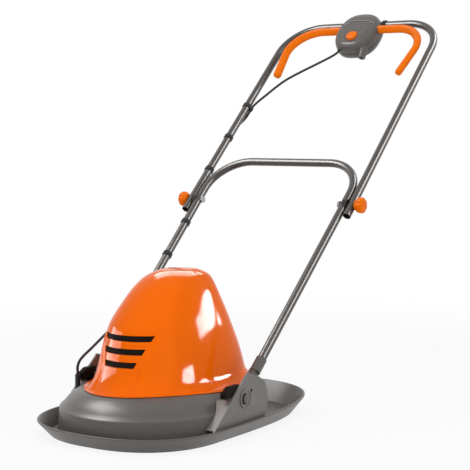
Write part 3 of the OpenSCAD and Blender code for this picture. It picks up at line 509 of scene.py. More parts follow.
def smooth_path(points: Sequence[Sequence[float]], spacing: float) -> Points:
    """A smooth curve through points, with a steady spacing.

    Args:
        points: The points in order.
        spacing: Longest distance between two points of the curve.

    Returns:
        The points of the curve.
    """
    p = np.asarray(points, float)
    out: list[Points] = []
    for i in range(len(p) - 1):
        a, b, c, d = p[max(0, i - 1)], p[i], p[i + 1], p[min(len(p) - 1, i + 2)]
        n = max(1, math.ceil(np.linalg.norm(c - b) / spacing))
        for t in np.arange(n) / n:
            out.append(0.5 * (2 * b + (c - a) * t + (2 * a - 5 * b + 4 * c - d) * t**2
                              + (3 * b - a - 3 * c + d) * t**3))
    return np.asarray([*out, p[-1]])


def circle(radius: float, count: int) -> Points:
    """Points on a circle in X and Y."""
    return superellipse(radius, radius, radius, 0.0, (2.0, 2.0), count)


def tangents(path: Points) -> Points:
    """Directions of a path at its points."""
    ahead = np.gradient(path, axis=0)
    return ahead / np.linalg.norm(ahead, axis=1, keepdims=True)


class Piece:
    """A visible mesh of the machine, with the calls that shade it and tie it to the frame."""

    STEEP = 0.8

    def __init__(self, name: str, points: Points, faces: list[tuple[int, ...]]) -> None:
        """Makes the mesh and its object.

        Args:
            name: Name of the piece.
            points: Corners in the frame of the part.
            faces: Corner numbers of each face.
        """
        mesh = bpy.data.meshes.new(name)
        mesh.from_pydata([tuple(p) for p in points], [], faces)
        self._turn_outwards(mesh)
        self.obj = bpy.data.objects.new(name, mesh)
        bpy.context.scene.collection.objects.link(self.obj)

    @staticmethod
    def _turn_outwards(mesh: bpy.types.Mesh) -> None:
        """Merges doubled corners and turns all faces outwards.

        Args:
            mesh: The mesh that is put right.
        """
        work = bmesh.new()
        work.from_mesh(mesh)
        bmesh.ops.remove_doubles(work, verts=work.verts, dist=MERGE_GAP)
        bmesh.ops.recalc_face_normals(work, faces=work.faces)
        work.to_mesh(mesh)
        work.free()

    @classmethod
    def skin(cls, name: str, rings: Sequence[Points], closed: bool = False, capped: bool = False) -> "Piece":
        """Skins rings of equally many points.

        Args:
            name: Name of the piece.
            rings: The rings in order, each closed.
            closed: Whether the last ring joins the first.
            capped: Whether the first and the last ring are filled.

        Returns:
            The piece.
        """
        n, m = len(rings), len(rings[0])
        faces: list[tuple[int, ...]] = []
        for j in range(n if closed else n - 1):
            a, b = j * m, (j + 1) % n * m
            faces += [(a + i, a + (i + 1) % m, b + (i + 1) % m, b + i) for i in range(m)]
        if capped:
            faces += [tuple(range(m)), tuple(range((n - 1) * m, n * m))]
        return cls(name, np.concatenate(rings), faces)

    @classmethod
    def sweep(cls, name: str, path: Points, section: Points, scales: Points | None = None) -> "Piece":
        """Sweeps a closed section along a path without twist.

        Args:
            name: Name of the piece.
            path: The path's points.
            section: The section's points, across and up.
            scales: Size of the section at each point of the path.

        Returns:
            The closed piece.
        """
        ahead = tangents(path)
        x_axis, y_axis, _ = np.eye(3)
        across = np.cross(ahead[0], y_axis if abs(ahead[0][1]) < cls.STEEP else x_axis)
        rings = []
        for i, (point, tangent) in enumerate(zip(path, ahead)):
            across = across - tangent * np.dot(across, tangent)
            across /= np.linalg.norm(across)
            up = np.cross(tangent, across)
            size = 1.0 if scales is None else scales[i]
            rings.append(point + (section[:, :1] * across + section[:, 1:] * up) * size)
        return cls.skin(name, rings, capped=True)

    @classmethod
    def copy_of(cls, node: str, name: str) -> "Piece":
        """Copies a CAD node's mesh, with its doubled corners merged and its flat faces made whole.

        Args:
            node: Name of the node.
            name: Name of the piece.

        Returns:
            The copy, which replaces the node and rides on its body.
        """
        source = frame["nodes"][node]
        work = bmesh.new()
        work.from_mesh(source.data)
        bmesh.ops.remove_doubles(work, verts=work.verts, dist=COPY_MERGE_GAP)
        limit = math.radians(FLAT_ANGLE)
        bmesh.ops.dissolve_limit(work, angle_limit=limit, verts=work.verts, edges=work.edges)
        mesh = bpy.data.meshes.new(name)
        work.to_mesh(mesh)
        work.free()
        piece = cls.__new__(cls)
        piece.obj = bpy.data.objects.new(name, mesh)
        bpy.context.scene.collection.objects.link(piece.obj)
        return piece.stand_for(source["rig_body"], node)

    @classmethod
    def softened(cls, node: str, name: str, width: float, slot: Slot,
                 finish: Finish | None = None) -> "Piece":
        """A dressed copy of a CAD node, with its sharp edges rounded to a width."""
        return cls.copy_of(node, name).bevel(width).smooth(SOFT_CREASE).dress(slot, finish)

    def bevel(self, width: float, segments: int = 3, angle: float = 32.0) -> "Piece":
        """Rounds the sharp edges.

        Args:
            width: Width of the round.
            segments: Faces across it.
            angle: Edges sharper than this many degrees are rounded.

        Returns:
            The piece itself.
        """
        modifier = self.obj.modifiers.new("edge", "BEVEL")
        modifier.width = width
        modifier.segments = segments
        modifier.limit_method = "ANGLE"
        modifier.angle_limit = math.radians(angle)
        modifier.harden_normals = False
        return self

    def smooth(self, angle: float) -> "Piece":
        """Shades the piece smooth, apart from its creases.

        Args:
            angle: Edges sharper than this many degrees stay creases.

        Returns:
            The piece itself.
        """
        self.obj.data.shade_smooth()
        self.obj.data.set_sharp_from_angle(angle=math.radians(angle))
        return self

    def cut(self, cutter: "Piece") -> "Piece":
        """Takes another piece's space out of this one.

        Args:
            cutter: The other piece, which is removed.

        Returns:
            The piece itself.
        """
        modifier = self.obj.modifiers.new("cut", "BOOLEAN")
        modifier.operation = "DIFFERENCE"
        modifier.solver = "MANIFOLD"
        modifier.object = cutter.obj
        graph = bpy.context.evaluated_depsgraph_get()
        mesh = bpy.data.meshes.new_from_object(self.obj.evaluated_get(graph))
        self.obj.modifiers.clear()
        self.obj.data = mesh
        bpy.data.objects.remove(cutter.obj)
        return self

    def dress(self, slot: Slot, finish: Finish | None = None) -> "Piece":
        """Gives the piece a material slot and its finish, or a finish of its own.

        Args:
            slot: The slot of the record.
            finish: A finish that differs from the slot's usual one.

        Returns:
            The piece itself.
        """
        self.obj.data.materials.clear()
        self.obj.data.materials.append((finish or FINISHES[slot]).material())
        return self

    def stand_for(self, body: str, *nodes: str) -> "Piece":
        """Rides the piece on a body in place of CAD nodes.

        Args:
            body: Name of the body.
            nodes: Names of the nodes that it stands for.

        Returns:
            The piece itself.
        """
        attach(self.obj, body)
        if nodes:
            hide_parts(*nodes)
        LOG.info("%s rides on %s for %s", self.obj.name, body, nodes)
        return self


@dataclass
class Deck:
    """The grey deck: dome, floor channel and upturned rim."""

    dome_r: float = 0.181
    dome_rear: float = 0.300
    dome_h: float = 0.056
    dome_powers: Pair = (2.0, 2.5)
    seat_h: float = 0.095
    seat_half: float = 0.139
    seat_front: float = 0.143
    seat_rear: float = 0.270
    seat_centre: float = 0.0689
    seat_powers: Pair = (2.0, 3.0)
    seat_round: float = 0.006
    draft: float = 0.004
    channel: float = 0.003
    flare: float = 0.025
    rear: float = 0.402
    rim_h: float = 0.0315
    rim_rise: float = 0.016
    rim_rise_from: float = 0.100
    rim_arch: float = 0.55
    rim_lip: float = 0.004
    rim_powers: Pair = (2.45, 4.0)
    wall: float = 0.003
    inlet_r: float = 0.062
    edge_round: float = 0.003
    channel_round: float = 0.0012
    lip_round: float = 0.0014
    under_round: float = 0.001
    foot_round: float = 0.003
    crease: float = 50.0
    count: int = 240
    shoulder: tuple[Pair, ...] = ((0.06, 0.045), (0.12, 0.105), (0.2, 0.26), (0.31, 0.45), (0.45, 0.62),
                                  (0.64, 0.8), (0.83, 0.93))

    @property
    def rim_half(self) -> float:
        """Half width of the rim lip."""
        return self.dome_r + self.draft + self.channel + self.flare

    def rim(self, grow: float) -> Points:
        """Outline of the rim lip, grown by a margin."""
        half = self.rim_half + grow
        return superellipse(half, half, self.rear + grow, 0.0, self.rim_powers, self.count)

    def dome(self, grow: float) -> Points:
        """Outline of the step edge, grown by a margin."""
        half = self.dome_r + grow
        return superellipse(half, half, self.dome_rear + grow, 0.0, self.dome_powers, self.count)

    def seat(self, grow: float) -> Points:
        """Outline of the flat seat under the hood, grown by a margin."""
        return superellipse(self.seat_half + grow, self.seat_front + grow, self.seat_rear + grow,
                            self.seat_centre, self.seat_powers, self.count)

    def lip(self, grow: float, drop: float = 0.0) -> Points:
        """A ring of the rim lip, which rises to the middle of the rear.

        Args:
            grow: Margin that the outline is grown by.
            drop: How far the ring is lowered.

        Returns:
            The ring.
        """
        outline = self.rim(grow)
        behind = np.maximum(0, outline[:, 1] - self.rim_rise_from) / (self.rear - self.rim_rise_from)
        arch = 1 - self.rim_arch * (outline[:, 0] / self.rim_half) ** 2
        return at_height(outline, self.rim_h + self.rim_rise * behind * arch - drop)

    def across(self, share: Pair, grow: float, drop: float) -> Points:
        """A ring of the shoulder, at shares of the way inwards and upwards from the step edge to the seat."""
        outline = self.dome(grow) * (1 - share[0]) + self.seat(grow) * share[0]
        return at_height(outline, self.dome_h + (self.seat_h - self.dome_h) * share[1] - drop)

    def build(self) -> None:
        """Makes the deck moulding."""
        inlet = circle(self.inlet_r, self.count)
        inward = -self.flare - self.rim_lip / 2 + self.channel / 2
        rings = [at_height(inlet, self.seat_h)]
        seat = len(rings)
        rings.append(at_height(self.seat(0), self.seat_h))
        rings += [self.across(s, 0, 0) for s in reversed(self.shoulder)]
        edge = len(rings)
        rings += [at_height(self.dome(0), self.dome_h), at_height(self.dome(self.draft), self.wall),
                  at_height(self.rim(inward), self.wall), self.lip(-self.rim_lip), self.lip(0),
                  self.lip(0, self.wall), at_height(self.rim(-self.flare), 0),
                  at_height(self.dome(self.draft - self.wall), 0),
                  at_height(self.dome(-self.wall), self.dome_h - self.wall / 2)]
        rings += [self.across(s, -self.wall, self.wall) for s in self.shoulder]
        rings += [at_height(self.seat(-self.wall), self.seat_h - self.wall),
                  at_height(inlet, self.seat_h - self.wall)]
        rounds = (self.edge_round, self.channel_round, self.channel_round, self.lip_round, self.lip_round,
                  self.under_round, self.foot_round)
        soft = {seat: self.seat_round, **{edge + i: reach for i, reach in enumerate(rounds)}}
        rings = [LAYOUT.machine(r) for r in rounded(rings, soft)]
        piece = Piece.skin("deck_moulding", rings, closed=True).smooth(self.crease)
        piece.dress(Slot.DECK).stand_for("deck", "deck_shell")


@dataclass
class Hood:
    """The tall orange hood with its air slots."""

    half: float = 0.134
    front: float = 0.138
    rear: float = 0.265
    height: float = 0.232
    seat: float = 0.095
    wall: float = 0.0025
    gap: float = 0.0016
    powers: Pair = (2.0, 3.0)
    count: int = 224
    finer: int = 4
    rows: int = 110
    slots: int = 3
    slot_h: float = 0.012
    slot_pitch: float = 0.026
    slot_half: float = 0.060
    slot_taper: float = 0.0105
    slot_top: float = 0.1085
    cutter_from: float = -1.2
    cutter_to: float = 0.1
    panel_depth: float = 0.005
    panel_edge: float = 0.008
    panel_margin: float = 0.014
    panel_over: float = 0.022
    panel_fade: float = 0.03
    panel_back: float = 0.2
    insert_gap: float = 0.0008
    insert_t: float = 0.002
    insert_margin: float = 0.008
    insert_half: float = 0.088
    skirt_share: float = 0.42
    skirt_from: float = -0.120
    skirt_to: float = 0.160
    skirt_lift: float = 0.0012
    skirt_shares: tuple[float, ...] = (1.0, 0.75, 0.5, 0.25, 0.0)
    skirt_evening: int = 3
    foot_in: float = 0.002
    flare: float = 0.006
    flare_share: float = 0.07
    crown_shares: tuple[float, ...] = (0.8, 0.55, 0.3, 0.1)
    crown_rise: float = 0.0012
    lid_shares: Pair = (0.1, 0.5)
    evening: int = 7
    ring_evening: int = 9
    ring_gain: float = 0.0008
    crease: float = 42.0
    shares: tuple[tuple[float, ...], ...] = (
        (0, 1, 1, 1, 0.26), (0.063, 0.936, 0.89, 0.978, 0.264), (0.13, 0.914, 0.818, 0.963, 0.268),
        (0.28, 0.868, 0.735, 0.914, 0.283), (0.42, 0.828, 0.665, 0.85, 0.298),
        (0.515, 0.794, 0.605, 0.803, 0.312), (0.62, 0.738, 0.48, 0.762, 0.327),
        (0.71, 0.676, 0.325, 0.728, 0.342), (0.8, 0.61, 0.165, 0.698, 0.356),
        (0.88, 0.54, -0.01, 0.674, 0.372), (0.94, 0.465, -0.18, 0.655, 0.39),
        (0.975, 0.4, -0.31, 0.64, 0.4), (0.993, 0.33, -0.4, 0.61, 0.405), (1, 0.26, -0.46, 0.57, 0.405))

    @property
    def slot_low(self) -> float:
        """Height of the lowest slot above the seat."""
        return self.slot_top - (self.slots - 1) * self.slot_pitch

    def ring(self, row: Points, grow: float, drop: float) -> Points:
        """One ring of the hood.

        Args:
            row: Shares of the height, the half width, the front, the rear and the widest place.
            grow: Margin that the outline is grown by.
            drop: How far the ring is lowered.

        Returns:
            The ring.
        """
        share, half, front, rear, centre = row
        grow = grow + self.ring_gain
        outline = superellipse(self.half * half + grow, self.front * front + grow, self.rear * rear + grow,
                               self.rear * centre, self.powers, self.finer * self.count)
        even = even_ring(outline, self.count, self.ring_evening)
        return self.flared(at_height(even, self.seat + self.height * share - drop), share)

    def flared(self, ring: Points, share: float) -> Points:
        """Spreads the foot of the hood towards its skirt.

        Args:
            ring: One ring of the hood.
            share: Its share of the height.

        Returns:
            The spread ring.
        """
        reach = self.flare * max(0.0, 1 - share / self.flare_share) ** 2
        away = ring[:, :2] - (0.0, self.rear * self.shares[0][-1])
        away /= np.linalg.norm(away, axis=1, keepdims=True)
        back = step(ring[:, 1], self.skirt_from, self.skirt_to)
        return np.column_stack([ring[:, :2] + away * (reach * back)[:, None], ring[:, 2]])

    def skirt(self, share: float, drop: float) -> Points:
        """One ring of the skirt, which reaches down the shoulder of the deck at the sides and the rear.

        Args:
            share: 0 at its top, 1 at its lower edge.
            drop: How far the ring is lowered.

        Returns:
            The ring.
        """
        deck = Deck(count=self.finer * self.count)
        edge, seat = deck.dome(self.skirt_lift), deck.seat(self.skirt_lift)
        out = self.skirt_share * share * step(seat[:, 1], self.skirt_from, self.skirt_to)
        ways = np.array([(0.0, 0.0), *deck.shoulder, (1.0, 1.0)])
        up = np.interp(1 - out, ways[:, 0], ways[:, 1])
        ring = edge * out[:, None] + seat * (1 - out[:, None])
        high = deck.dome_h + (deck.seat_h - deck.dome_h) * up + self.skirt_lift - drop
        return even_ring(at_height(ring, high), self.count, self.skirt_evening)

    def dented(self, ring: Points) -> Points:
        """Sinks the panel that holds the air slots.

        Args:
            ring: One ring of the outside.

        Returns:
            The ring with its front sunk inside the panel.
        """
        x, y, z = ring.T
        up = z - self.seat
        reach = self.slot_half - (self.slots - 1) * self.slot_taper + self.panel_margin
        slant = self.slot_taper / self.slot_pitch * np.maximum(0, up - self.slot_low)
        inside = step(reach + slant - np.abs(x), 0, self.panel_edge)
        below = step(self.slot_top + self.panel_over - up, 0, self.panel_fade)
        ahead = y < self.rear * self.panel_back
        return np.column_stack([x, y + self.panel_depth * (inside * below) * ahead, z])

    def slot_cutter(self, i: int) -> Piece:
        """A wedge of one air slot, which runs through the front of the hood.

        Args:
            i: Number of the slot from the top.

        Returns:
            The wedge.
        """
        half = self.slot_half - i * self.slot_taper
        lean = self.slot_taper * self.slot_h / self.slot_pitch / 2
        z, high = self.seat + self.slot_top - i * self.slot_pitch, self.slot_h / 2
        flat = [(-half + lean, -high), (half - lean, -high), (half + lean, high), (-half - lean, high)]
        ends = (self.front * self.cutter_from, self.front * self.cutter_to)
        rings = [LAYOUT.machine([(x, y, z + up) for x, up in flat]) for y in ends]
        return Piece.skin(f"slot_cutter_{i}", rings, capped=True)

    @staticmethod
    def drawn_in(ring: Points, shares: Sequence[float], rise: float) -> list[Points]:
        """Rings of smaller shares that close a ring towards its middle, which rises above it."""
        centre = ring.mean(axis=0)
        return [centre + (ring - centre) * s + (0, 0, rise * (1 - s * s)) for s in shares]

    def build(self) -> None:
        """Makes the hood and cuts its slots."""
        table = evened(smooth_rows(self.shares, self.rows), self.evening)
        outer = [self.dented(self.ring(row, 0, 0)) for row in table]
        outer[0] = outer[0] + (0, 0, self.gap)
        inner = [self.dented(self.ring(row, -self.wall, self.wall * row[0])) for row in table[::-1]]
        inner[-1] = inner[-1] + (0, 0, self.gap)
        crown = self.drawn_in(self.ring(table[-1], 0, 0), self.crown_shares, self.crown_rise)
        lid = self.drawn_in(inner[0], self.lid_shares, 0.0)
        foot = [self.ring(table[0], -self.foot_in, 0), self.skirt(1.0, self.skirt_lift / 2)]
        foot += [self.skirt(share, 0) for share in self.skirt_shares]
        rings = [LAYOUT.machine(r) for r in (*foot, *outer, *crown, *lid, *inner)]
        piece = Piece.skin("hood_moulding", rings, closed=True)
        for i in range(self.slots):
            piece.cut(self.slot_cutter(i))
        piece.smooth(self.crease).dress(Slot.HOOD).stand_for("deck", "motor_hood")
        self.insert(table)

    def insert(self, table: Points) -> None:
        """Makes the black louver insert, a sheet that follows the inside of the panel.

        Args:
            table: The rows of the hood.
        """
        low = self.slot_low - self.slot_h - self.insert_margin
        high = self.slot_top + self.slot_h
        rows = [row for row in table if low <= row[0] * self.height <= high]
        x, y, _ = self.ring(rows[0], 0, 0).T
        ahead = np.flatnonzero((np.abs(x) < self.insert_half) & (y < 0))
        rings = []
        for row in rows:
            outer, inner = (self.dented(self.ring(row, -self.wall - behind, 0))[ahead]
                            for behind in (self.insert_gap, self.insert_gap + self.insert_t))
            rings.append(LAYOUT.machine(np.concatenate([outer, inner[::-1]])))
        piece = Piece.skin("louver_sheet", rings, capped=True).smooth(self.crease)
        piece.dress(Slot.BLACK, BLACK_AND_SLOT_SHADE).stand_for("deck", "louver_insert")


@dataclass
class Brackets:
    """The grey handle brackets, their stops, pins and gland."""

    round_edge: float = 0.0011
    pin_edge: float = 0.0005
    gland_edge: float = 0.0006
    plate_out: float = 0.2015
    dish_out: float = 0.2030
    # Thin dark sheets on each boss are painted shade: the crescent stands for the curved slot, the disc for
    # the hole.
    mark_t: float = 0.0004
    mark_in: float = 0.0088
    mark_wide: float = 0.0058
    mark_arc: Pair = (70.0, 285.0)
    mark_tip: float = 0.12
    mark_count: int = 40
    mark_crease: float = 40.0
    hole_at: Pair = (0.022, 0.013)
    hole_r: float = 0.0030
    hole_count: int = 24

    def mark(self, name: str, side: Side, points: Points, x: float) -> None:
        """Makes a thin dark sheet on the outer face of a bracket, painted shade where a slot or a hole sinks
        into the boss.

        Args:
            name: Name of the piece.
            side: Which bracket.
            points: Its outline round the pivot, back and up.
            x: Distance of the face from the middle of the machine.
        """
        back, up = LAYOUT.pivot_y + points[:, 0], LAYOUT.pivot_z + points[:, 1]
        rings = []
        for out in (x - self.mark_t, x + self.mark_t):
            across = np.full(len(points), side.value * out)
            rings.append(LAYOUT.machine(np.column_stack([across, back, up])))
        piece = Piece.skin(f"{name}_{side.label}", rings, capped=True).smooth(self.mark_crease)
        piece.dress(Slot.BLACK, BLACK_AND_SLOT_SHADE).stand_for("deck")

    def build(self) -> None:
        """Makes the brackets, the pieces in them and the dark sheets of painted shade for the slot and the
        hole round each pivot.
        """
        arc = np.radians(np.linspace(*self.mark_arc, self.mark_count))
        ray = np.column_stack([np.cos(arc), np.sin(arc)])
        turn = np.linspace(self.mark_tip, math.pi - self.mark_tip, self.mark_count)
        swell = np.sin(turn)[:, None] * self.mark_wide
        crescent = np.concatenate([ray * (self.mark_in + swell), ray[::-1] * self.mark_in])
        hole = circle(self.hole_r, self.hole_count) + self.hole_at
        for side in Side:
            name = side.label
            Piece.softened(f"bracket_{name}", f"bracket_{name}_moulding", self.round_edge, Slot.DECK,
                           BRACKET_GREY)
            Piece.softened(f"stop_{name}", f"stop_{name}_block", self.round_edge, Slot.BLACK, BLACK_AND_SLOT_SHADE)
            Piece.softened(f"pivot_pin_{name}", f"pivot_{name}_pin", self.pin_edge, Slot.DECK)
            # Painted shade of the curved slot and of the hole, laid as dark sheets on the face.
            self.mark("pivot_crescent", side, crescent, self.dish_out)
            self.mark("bracket_hole", side, hole, self.plate_out)
        Piece.softened("lead_gland", "ribbed_gland", self.gland_edge, Slot.LEAD)


@dataclass
class Handle:
    """The bent tubes, their feet, clamps and knobs."""

    tube_r: float = 0.0095
    tube_wall: float = 0.0015
    tube_edge: float = 0.0004
    bore_depth: float = 0.03
    foot_half: float = 0.1905
    clamp_half: float = 0.2025
    clamp_s: float = 0.551
    cross_at: float = 0.684
    grip_at: float = 1.196
    tail_at: float = 0.516
    leg_from: float = 0.0763
    lower_bend: float = 0.095
    upper_bend: float = 0.100
    upper_half: float = 0.2235
    leg_count: int = 24
    bend_count: int = 28
    sides: int = 40
    crease: float = 50.0
    knob_r: float = 0.018
    knob_t: float = 0.022
    knob_gap: float = 0.0003
    knob_tip: float = 0.001
    knob_sides: int = 140
    knob_spacing: float = 0.05
    knob_crease: float = 45.0
    knob_profile: tuple[Pair, ...] = (
        (0.0, 0.30), (0.0, 0.66), (0.04, 0.7), (0.3, 0.93), (0.38, 0.98), (0.46, 1.0), (0.7, 1.0),
        (0.8, 0.97), (0.88, 0.9), (0.94, 0.78), (0.98, 0.6), (1.0, 0.35), (1.0, 0.05))
    lobes: int = 7
    lobe_depth: float = 0.13
    lobe_power: float = 1.4
    lobe_from: float = 0.2
    lobe_rise: float = 0.25
    lobe_to: float = 1.02
    lobe_fall: float = 0.2
    foot_edge: float = 0.0012
    saddle_edge: float = 0.0008
    bolt_edge: float = 0.0006
    clip_edge: float = 0.0005

    @staticmethod
    def both_sides(right: list[Pair]) -> Points:
        """Middle line of a whole tube from left to right, from its right half across and along the handle."""
        half = np.array([(x, 0.0, z) for x, z in right])
        return LAYOUT.handle(np.concatenate([half * (-1, 1, 1), half[::-1]]))

    def lower_path(self) -> Points:
        """The middle line of the lower tube.

        Returns:
            Its points from the left foot to the right one.
        """
        splay = math.atan((self.clamp_half - self.foot_half) / self.clamp_s)
        s, c = math.sin(splay), math.cos(splay)
        r = self.lower_bend
        turn_z = self.cross_at - r
        turn_x = self.foot_half + (turn_z * s - r) / c
        meet = (turn_x - self.foot_half) * s + turn_z * c
        leg = np.linspace(self.leg_from - meet, 0, self.leg_count, endpoint=False)
        bend = np.linspace(0, math.pi / 2 + splay, self.bend_count)
        local = [(r, z) for z in leg] + [(r * math.cos(t), r * math.sin(t)) for t in bend]
        return self.both_sides([(turn_x + x * c + z * s, turn_z - x * s + z * c) for x, z in local])

    def upper_path(self) -> Points:
        """The middle line of the upper tube.

        Returns:
            Its points from the left tail to the right one.
        """
        r = self.upper_bend
        turn_x, turn_z = self.upper_half - r, self.grip_at - r
        leg = np.linspace(self.tail_at, turn_z, self.leg_count, endpoint=False)
        bend = np.linspace(0, math.pi / 2, self.bend_count)
        right = [(self.upper_half, z) for z in leg]
        right += [(turn_x + r * math.cos(t), turn_z + r * math.sin(t)) for t in bend]
        return self.both_sides(right)

    def tube(self, name: str, path: Points) -> Piece:
        """A tube along a path, with a bore in each end.

        Args:
            name: Name of the piece.
            path: The middle line.

        Returns:
            The tube.
        """
        ends = ((path[0], path[0] - path[1]), (path[-1], path[-1] - path[-2]))
        first, last = (end - out / np.linalg.norm(out) * self.bore_depth for end, out in ends)
        line = np.concatenate([[first, path[0], path[0]], path, [path[-1], path[-1], last]])
        bore, edge = self.tube_r - self.tube_wall, self.tube_r - self.tube_edge
        radii = [bore, bore, edge, *[self.tube_r] * len(path), edge, bore, bore]
        extra = (len(line) - len(path)) // 2
        ahead = np.pad(tangents(path), ((extra, extra), (0, 0)), mode="edge")
        flat = circle(1.0, self.sides)
        normal = np.array([0.0, math.cos(LAYOUT.lean), -math.sin(LAYOUT.lean)])
        rings = []
        for point, tangent, radius in zip(line, ahead, radii):
            across = np.cross(tangent, normal)
            across /= np.linalg.norm(across)
            rings.append(point + (flat[:, :1] * across + flat[:, 1:] * normal) * radius)
        return Piece.skin(name, rings, capped=True).smooth(self.crease)

    def knob(self, side: Side) -> None:
        """Makes one lobed clamp knob with a domed crown.

        Args:
            side: Which knob.
        """
        out = self.upper_half + self.tube_r + self.knob_gap
        angles = 2 * math.pi * np.arange(self.knob_sides) / self.knob_sides
        hollow = np.clip(np.cos(self.lobes * angles), 0, 1) ** self.lobe_power
        rings = []
        for high, wide in smooth_path(self.knob_profile, self.knob_spacing):
            rise = np.clip((high - self.lobe_from) / self.lobe_rise, 0, 1)
            fall = np.clip((self.lobe_to - high) / self.lobe_fall, 0, 1)
            r = self.knob_r * max(wide, self.knob_tip) * (1 - self.lobe_depth * (rise * fall) * hollow)
            x = np.full_like(angles, side.value * (out + self.knob_t * high))
            ring = np.column_stack([x, r * np.cos(angles), self.clamp_s + r * np.sin(angles)])
            rings.append(LAYOUT.handle(ring))
        body = f"knob_{side.label}"
        piece = Piece.skin(f"{body}_grip", rings, capped=True).smooth(self.knob_crease)
        piece.dress(Slot.HOOD, TRIM_ORANGE).stand_for(body, body)

    def build(self) -> None:
        """Makes the tubes, feet, saddles, bolts, clips and knobs."""
        for name, path in (("lower", self.lower_path()), ("upper", self.upper_path())):
            piece = self.tube(f"{name}_handle_tube", path).dress(Slot.TUBE)
            piece.stand_for(f"{name}_handle", f"{name}_tube")
        for side in Side:
            self.knob(side)
            name = side.label
            Piece.softened(f"foot_{name}", f"foot_{name}_socket", self.foot_edge, Slot.DECK)
            Piece.softened(f"saddle_{name}", f"saddle_{name}_pad", self.saddle_edge, Slot.BLACK)
        Piece.softened("clamp_bolts", "clamp_bolt_pair", self.bolt_edge, Slot.STEEL)
        for name in ("lower_clips", "upper_clips"):
            Piece.softened(name, f"{name}_bands", self.clip_edge, Slot.BLACK)


